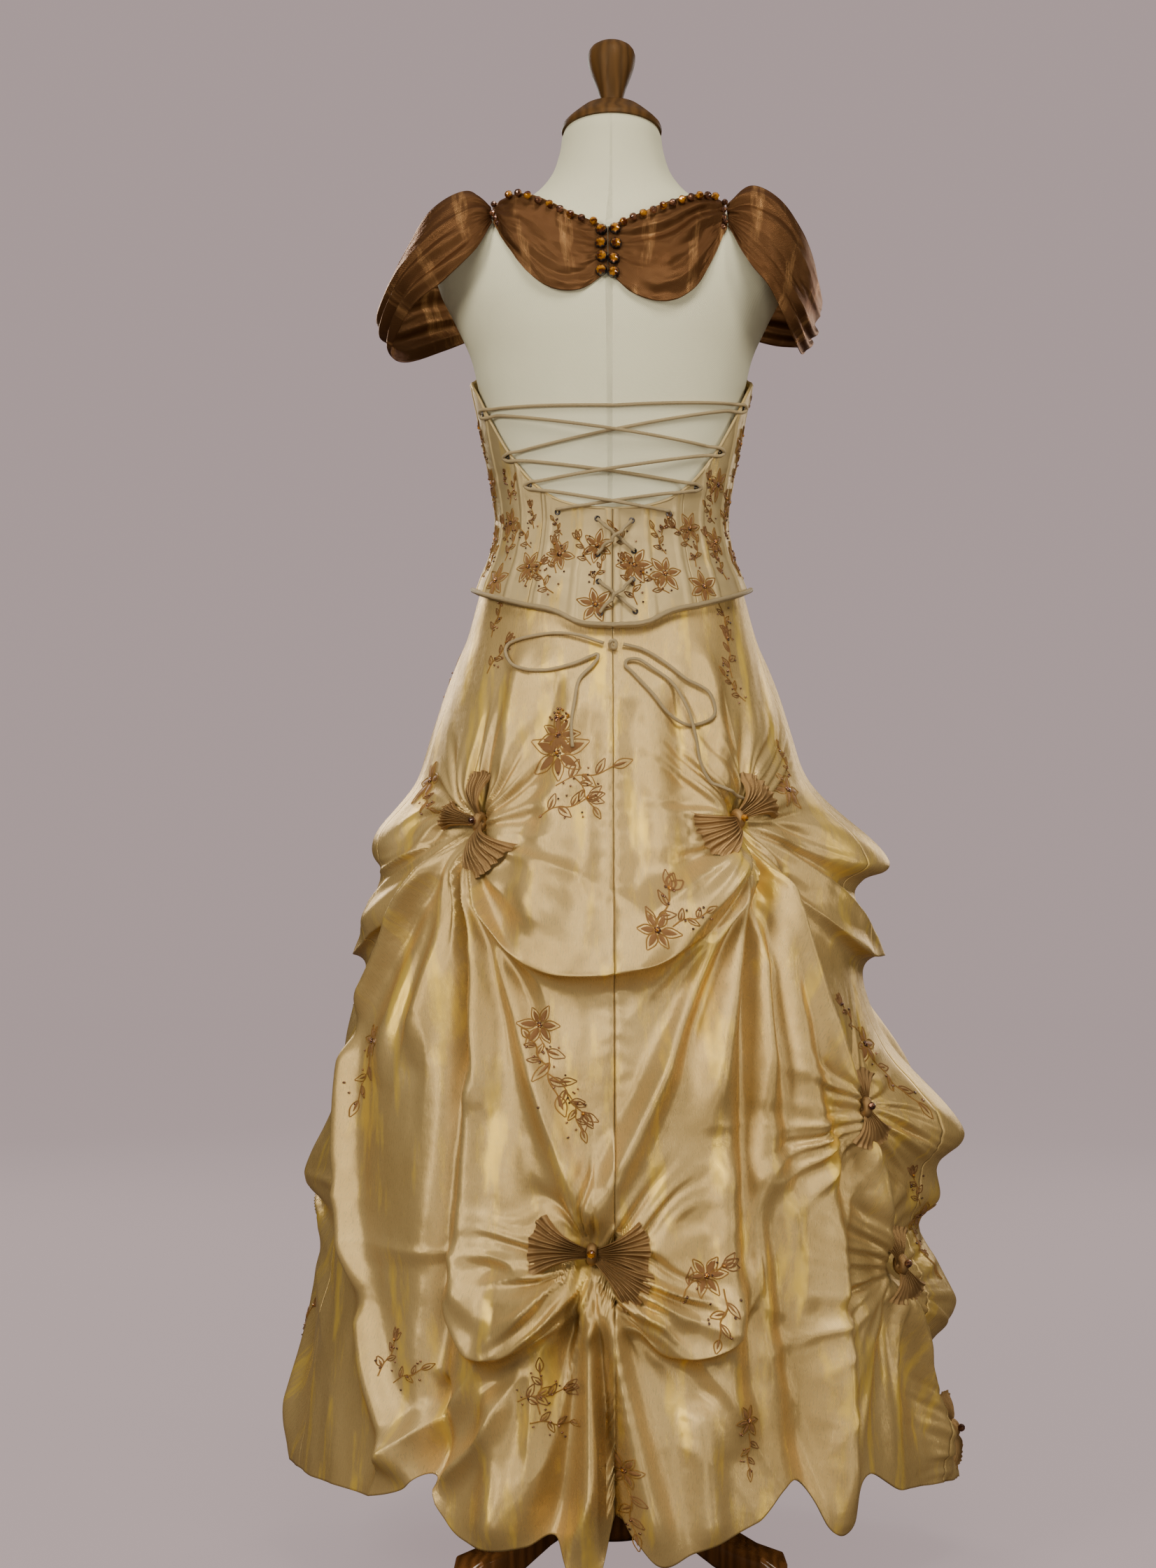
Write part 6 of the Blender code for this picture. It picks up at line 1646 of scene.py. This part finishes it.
class GOWN_OT_lacing(bpy.types.Operator):
    """Laces the back together and ties the cord's bow"""
    bl_idname = "gown.lacing"
    bl_label = "Lacing and its bow"

    def execute(self, context):
        backs = [bodice_grid(*row[1:], 60, 60) for row in BODICE_PANELS if row[1] < 80 or row[1] > 280]
        skirts = [skirt_grid(*row[1:3], 150, 200) for row in SKIRT_GORES[:2]]
        chain_a = (EYES_RIGHT[0], EYES_LEFT[1], EYES_RIGHT[2], EYES_LEFT[3])
        chain_b = (EYES_LEFT[0], EYES_RIGHT[1], EYES_LEFT[2], EYES_RIGHT[3])
        for name, chain, over in (("lace_a", chain_a, 0.0), ("lace_b", chain_b, LACE_OVER)):
            route = smooth_path(lacing_chain(chain, over), 420)
            cord_piece(f"{name}_cord", route, LACE_RADIUS, "cord", (name,))
        pairs = ((INNER_LEFT[0], INNER_RIGHT[1], 0.0), (INNER_RIGHT[0], INNER_LEFT[1], LACE_OVER),
                 (INNER_LEFT[2], INNER_RIGHT[3], 0.0), (INNER_RIGHT[2], INNER_LEFT[3], LACE_OVER))
        for number, (begin, end, over) in enumerate(pairs, 1):
            cord_piece(f"lace_cross_{number}_cord", smooth_path(strand(begin, end, over), 34),
                       LACE_RADIUS, "cord", (f"lace_cross_{number}",))
        self.bow(surface_from(skirts + backs))
        self.eyelets(context)
        return {"FINISHED"}

    def bow(self, surface):
        """Two free ends, each a loop and a tail, and the knot that they leave."""
        for name, table, count in (("lace_bow_left", LOOP_LEFT, 60), ("lace_bow_right", LOOP_RIGHT, 80)):
            route = [lay(surface, turn, height, LACE_OFF + extra) for turn, height, extra in table]
            path = keep_off(surface, smooth_path(route, count), LACE_OFF)
            path = np.array(smooth_path(path, count * 4))
            piece = cord_piece(f"{name}_cord", path, LACE_RADIUS, "cord", (name,))
        self.knot(surface)

    def knot(self, surface):
        """The bow's knot: a cord wound twice round itself."""
        middle = lay(surface, *LACE_KNOT, 0.0065)
        turn = np.linspace(0, 2 * math.pi * 2, 70)
        across = 0.0030 * np.cos(turn) + 0.0012 * np.sin(turn / 2)
        upward = 0.0042 * np.sin(turn)
        outwards = 0.0016 * np.cos(turn * 0.5) + 0.0009 * np.sin(turn * 2)
        path = np.stack([middle.x + across, middle.y + outwards, middle.z + upward], axis=-1)
        cord_piece("lace_knot_cord", path, LACE_RADIUS * 0.98, "cord", ("lace_knot",))

    def eyelets(self, context):
        """Pressed metal eyelets, modelled once and copied to each place."""
        bpy.ops.object.select_all(action="DESELECT")
        bpy.ops.mesh.primitive_circle_add(vertices=20, radius=0.0034, fill_type="NOTHING")
        first = context.object
        bpy.ops.object.mode_set(mode="EDIT")
        for value, scale in (((0, 0, 0.0007), 0.94), ((0, 0, 0.0003), 0.80), ((0, 0, -0.0002), 0.66),
                             ((0, 0, -0.0008), 0.60), ((0, 0, -0.0008), 0.98)):
            bpy.ops.mesh.extrude_region_move(TRANSFORM_OT_translate={"value": value})
            bpy.ops.transform.resize(value=(scale, scale, 1.0), center_override=(0.0, 0.0, 0.0))
        bpy.ops.mesh.select_all(action="SELECT")
        bpy.ops.mesh.normals_make_consistent(inside=False)
        bpy.ops.object.mode_set(mode="OBJECT")
        bpy.ops.object.shade_smooth()
        corners = np.array([vertex.co[:] for vertex in first.data.vertices])
        faces = np.array([face.vertices[:] for face in first.data.polygons])
        bpy.data.objects.remove(first, do_unlink=True)
        points, polygons = [], []
        for turn, height in EYES_LEFT + EYES_RIGHT + INNER_LEFT + INNER_RIGHT:
            spot = np.array(bodice_cloth(turn, height)).reshape(3)
            out = outward(bodice_cloth, turn, height).reshape(3)
            polygons.append(faces + len(corners) * len(points))
            points.append(corners @ axes_of(out) + spot + out * 0.0002)
        data = mesh_of("eyelets", np.concatenate(points), np.concatenate(polygons))
        put("eyelets", data, "dark_metal")


class GOWN_OT_form(bpy.types.Operator):
    """Builds the limbless linen form, its neck cap and finial, and the wooden stand"""
    bl_idname = "gown.form"
    bl_label = "Dress form and stand"

    def execute(self, context):
        rings = form_grid(144, 150).transpose(1, 0, 2)
        rows, columns = rings.shape[:2]
        turn = np.linspace(0, 0.9, columns)[None, :] + np.zeros((rows, 1))
        points, uv = (
            np.concatenate([grid.reshape(-1, grid.shape[-1]), grid[:1].mean(axis=1),
                            grid[-1:].mean(axis=1)])
            for grid in (rings, np.stack([turn, rings[..., 2]], axis=-1)))
        faces = [face[::-1] for face in capped_faces(rows, columns)]
        data = mesh_of("form_linen", points, faces, uv)
        data.set_sharp_from_angle(angle=math.radians(50))
        put("form_linen", data, "linen", ("form_body",))
        neck = Vector((AXIS_X, AXIS_Y, NECK_TOP + SEAM_GAP))
        self.turned(context, "neck_cap", CAP_PROFILE, NECK_TILT, neck, "wood")
        lean = Vector((0.0, math.sin(NECK_TILT), math.cos(NECK_TILT)))
        seat = neck + lean * (CAP_PROFILE[-1][1] + SEAM_GAP)
        self.turned(context, "finial", KNOB_PROFILE, NECK_TILT, seat, "wood")
        axis = Vector((AXIS_X, AXIS_Y, 0.0))
        self.turned(context, "pole", POLE_PROFILE, 0.0, axis, "dark_wood")
        self.turned(context, "base_hub", HUB_PROFILE, 0.0, axis, "dark_wood")
        for number, turn in enumerate(LEG_TURNS, 1):
            self.leg(context, number, turn)
        return {"FINISHED"}

    def turned(self, context, node, profile, tilt, base, wood):
        """A turned piece: a circle drawn up through its profile of radii and heights."""
        bpy.ops.object.select_all(action="DESELECT")
        radius, height = profile[0]
        bpy.ops.mesh.primitive_circle_add(vertices=64, radius=radius, fill_type="NGON",
                                          location=(0.0, 0.0, height))
        thing = context.object
        bpy.ops.object.transform_apply(location=True, rotation=True, scale=True)
        bpy.ops.object.mode_set(mode="EDIT")
        for wide, high in profile[1:]:
            move = (0.0, 0.0, high - height)
            bpy.ops.mesh.extrude_region_move(TRANSFORM_OT_translate={"value": move})
            share = wide / radius
            bpy.ops.transform.resize(value=(share, share, 1.0), center_override=(0.0, 0.0, high))
            radius, height = wide, high
        bpy.ops.mesh.select_all(action="SELECT")
        bpy.ops.mesh.normals_make_consistent(inside=False)
        bpy.ops.object.mode_set(mode="OBJECT")
        bpy.ops.object.shade_smooth_by_angle(angle=math.radians(40))
        thing.rotation_euler = (-tilt, 0.0, 0.0)
        thing.location = base
        bpy.ops.object.transform_apply(location=True, rotation=True, scale=True)
        thing.name = thing.data.name = f"{node}_wood"
        dress(thing, wood, (node,))

    def leg(self, context, number, turn):
        """A low sweeping leg, drawn out of a block and rounded."""
        bpy.ops.object.select_all(action="DESELECT")
        reach, low, high = LEG_COURSE[0]
        bpy.ops.mesh.primitive_cube_add(size=1.0, location=(reach + 0.004, 0.0, (low + high) / 2))
        thing = context.object
        thing.scale = (0.008, 2 * LEG_HALF_WIDTH, high - low)
        bpy.ops.object.transform_apply(location=True, rotation=True, scale=True)
        bpy.ops.object.mode_set(mode="EDIT")
        shape = bmesh.from_edit_mesh(thing.data)
        for part in (*shape.faces, *shape.edges, *shape.verts):
            part.select = False
        for face in shape.faces:
            if face.normal.x > 0.9:
                face.select_set(True)
        bmesh.update_edit_mesh(thing.data)
        last = (reach + 0.008, low, high, 1.0)
        for place, (away, bottom, top) in enumerate(LEG_COURSE[1:], 1):
            narrow = 0.62 if place == len(LEG_COURSE) - 1 else 1.0
            narrow = narrow * (1.0 - 0.2 * place / len(LEG_COURSE))
            middle = (bottom + top) / 2
            move = (away - last[0], 0.0, middle - (last[1] + last[2]) / 2)
            bpy.ops.mesh.extrude_region_move(TRANSFORM_OT_translate={"value": move})
            size = (1.0, narrow / last[3], (top - bottom) / (last[2] - last[1]))
            bpy.ops.transform.resize(value=size, center_override=(away, 0.0, middle))
            last = (away, bottom, top, narrow)
        bpy.ops.object.mode_set(mode="OBJECT")
        bevel = thing.modifiers.new("edges", "BEVEL")
        bevel.width, bevel.segments = 0.006, 3
        bevel.limit_method, bevel.angle_limit = "ANGLE", math.radians(50)
        bpy.ops.object.modifier_apply(modifier="edges")
        bpy.ops.object.shade_smooth_by_angle(angle=math.radians(35))
        thing.rotation_euler = (0.0, 0.0, math.radians(turn - 90.0))
        thing.location = (AXIS_X, AXIS_Y, 0.0)
        bpy.ops.object.transform_apply(location=True, rotation=True, scale=True)
        thing.name = thing.data.name = f"leg_{number}_wood"
        dress(thing, "dark_wood", (f"leg_{number}",))


class GOWN_OT_skirt(bpy.types.Operator):
    """Sews the skirt's five gores, picked up into swags and puffs"""
    bl_idname = "gown.skirt"
    bl_label = "Skirt"

    def execute(self, context):
        for row in SKIRT_GORES:
            build_gore(*row)
        return {"FINISHED"}


class GOWN_OT_bodice(bpy.types.Operator):
    """Sews the nine boned panels, their bound edge and the cord along the waist"""
    bl_idname = "gown.bodice"
    bl_label = "Bodice"

    def execute(self, context):
        for row in BODICE_PANELS:
            build_panel(*row)
        turn = np.arange(0, 360, 1.0)
        side = np.abs(about_centre(turn))
        low = through(BODICE_BOTTOM, 1, side)
        off = BODICE_LOWER_EASE + BODICE_WALL + 0.0011 + TRIM_RADIUS + 0.0009
        path = off_form(turn, low + TRIM_RADIUS, off + 0.0 * turn)
        cord_piece("waist_cord_cord", path, TRIM_RADIUS, "cord", ("waist_cord",), True)
        high = through(BODICE_TOP, 1, side)
        path = off_form(turn, high, bodice_ease(turn, high) + BODICE_WALL * 0.6)
        cord_piece("bodice_binding", path, BINDING_RADIUS, "bodice_satin", (), True, 0)
        return {"FINISHED"}


class GOWN_OT_collar(bpy.types.Operator):
    """Drapes the organza collar over the shoulders"""
    bl_idname = "gown.collar"
    bl_label = "Organza collar"

    def execute(self, context):
        for name, *_ in DRAPES:
            piece = cloth(f"{name}_organza", drape_of(name), 0.0008, (2, 2, 2, 2), "organza",
                          (name,))
        return {"FINISHED"}


class GOWN_OT_bows(bpy.types.Operator):
    """Ties an organza bow over each of the skirt's pick-ups"""
    bl_idname = "gown.bows"
    bl_label = "Organza bows"

    def execute(self, context):
        for name, turn, height, _, _ in PICK_UPS:
            self.bow(name, turn, height)
        return {"FINISHED"}

    def bow(self, name, turn, height):
        """Pleated lobes that spread from a bound knot."""
        base, spot = bow_place(name, turn, height)
        data = bow_mesh(f"{name}_organza", BOW_LOBES[name], base, spot, int(turn) + 200)
        piece = put(f"{name}_organza", data, "bow_organza", (name,))


class GOWN_OT_beads(bpy.types.Operator):
    """Threads the collar's bead chains, the clasp's stones and the gathers' beads"""
    bl_idname = "gown.beads"
    bl_label = "Beads and clasp"

    def execute(self, context):
        looks = context.scene.rococo_gown
        bead, gem, small = looks.neck_bead, looks.clasp_gem, 0.0035
        left, right = drape_of("drape_back_left"), drape_of("drape_back_right")
        for name, grid, ends, count, radius in (
                ("bead_chain_left", left, ((-0.022, 0.03), (-0.110, 0.03)), 9, bead),
                ("bead_chain_right", right, ((0.012, 0.03), (0.110, 0.03)), 11, bead),
                ("clasp_left", left, ((-0.0135, 0.12), (-0.0125, 0.90)), 4, gem),
                ("clasp_right", right, ((0.0032, 0.12), (0.0022, 0.90)), 4, gem),
                ("shoulder_beads_left", left, ((-0.1275, 0.10), (-0.1255, 0.92)), 4, small),
                ("shoulder_beads_right", right, ((0.1195, 0.10), (0.1215, 0.92)), 5, small)):
            self.string(name, self.along(grid, ends, count, radius * 0.8), radius)
        for name, turn, height, _, _ in PICK_UPS:
            base, spot = bow_place(name, turn, height)
            self.stones(f"{name}_gem", [spot + base[2] * KNOT_TOP], 0.0044, 0.0,
                        "amber" if name in ("bow_2", "bow_3", "bow_10") else "copper_bead", ())
        return {"FINISHED"}

    def along(self, grid, ends, count, lift):
        """Places at even steps over a drape, from one x and share of its depth to another."""
        normal = grid_normals(grid)
        normal *= np.sign(np.sum(normal * (grid - (0.0, 0.0, 1.40))))
        (from_x, from_share), (to_x, to_share) = ends
        route = []
        for share in np.linspace(0, 1, 60):
            row = int(round((from_share + (to_share - from_share) * share) * (grid.shape[1] - 1)))
            column = int(np.argmin(np.abs(grid[:, row, 0] - (from_x + (to_x - from_x) * share))))
            route.append(grid[column, row] + normal[column, row] * lift)
        return [np.array(place) for place in smooth_path(route[::4] + route[-1:], count)]

    def string(self, name, places, radius):
        """A string of stones: in cups on the clasp, between copper beads on the collar."""
        clasp, chain = "clasp" in name, "chain" in name
        stones = places[::2] if chain else places
        self.stones(f"{name}_stones", stones, radius, 0.0,
                    "amber" if clasp or chain else "copper_bead", (name,))
        if clasp:
            self.stones(f"{name}_cups", stones, radius * 1.2, -0.0022, "dark_metal", ())
        if chain:
            self.stones(f"{name}_beads", places[1::2], radius * 0.95, 0.0, "copper_bead", ())

    def stones(self, name, places, radius, lift, finish, nodes):
        """Cut stones of one size that face away from the body."""
        points, faces = [], []
        corners, sides = cut_stone()
        for place in places:
            out = place * (1.0, 1.0, 0.0) + np.array((0.0, 0.0, 0.02))
            out = out / np.linalg.norm(out)
            faces += [tuple(n + len(corners) * len(points) for n in face) for face in sides]
            points.append(corners * radius @ axes_of(out) + place + out * lift)
        put(name, mesh_of(name, np.concatenate(points), faces, smooth=False), finish, nodes)


class GOWN_OT_embroidery(bpy.types.Operator):
    """Works flowers, leaves, stems and beads over the skirt and the bodice"""
    bl_idname = "gown.embroidery"
    bl_label = "Embroidery"

    def execute(self, context):
        for part, sprays, surface, width_at in (
                ("skirt", SKIRT_SPRAYS, skirt_cloth, lambda z: through(SKIRT_SECTIONS, 1, z)),
                ("bodice", bodice_sprays(), bodice_cloth, lambda z: SEWING_ROUND + 0.0 * z)):
            threads = {"copper_thread": f"{part}_satin", "gold_thread": f"{part}_satin",
                       "copper_bead": "amber", "amber": "amber"}
            work = {thread: Stitches() for thread in threads}
            for row in sprays:
                spray(work, *row)
            for thread, slot in threads.items():
                points, uv = work[thread].points(surface, width_at)
                data = mesh_of(f"{part}_{thread}", points, work[thread].faces, uv)
                put(f"{part}_{thread}", data, thread)
        return {"FINISHED"}


class GOWN_PT_panel(bpy.types.Panel):
    """Lists the sizes, the colours and the steps"""
    bl_idname = "GOWN_PT_panel"
    bl_label = "Rococo gown"
    bl_space_type = "VIEW_3D"
    bl_region_type = "UI"
    bl_category = "Gown"

    def draw(self, context):
        looks = context.scene.rococo_gown
        for name in GownLooks.__annotations__:
            self.layout.prop(looks, name)
        for step in STEPS:
            self.layout.operator(step.bl_idname)


STEPS = (GOWN_OT_stage, GOWN_OT_lacing, GOWN_OT_form, GOWN_OT_skirt, GOWN_OT_bodice,
         GOWN_OT_collar, GOWN_OT_bows, GOWN_OT_beads, GOWN_OT_embroidery)
CLASSES = (GownLooks, *STEPS, GOWN_PT_panel)


def register():
    for kind in CLASSES:
        bpy.utils.register_class(kind)
    bpy.types.Scene.rococo_gown = bpy.props.PointerProperty(type=GownLooks)


def unregister():
    del bpy.types.Scene.rococo_gown
    for kind in reversed(CLASSES):
        bpy.utils.unregister_class(kind)


def main():
    register()
    for step in STEPS:
        family, name = step.bl_idname.split(".")
        getattr(getattr(bpy.ops, family), name)()
    bpy.context.view_layer.update()


if __name__ == "__main__":
    main()
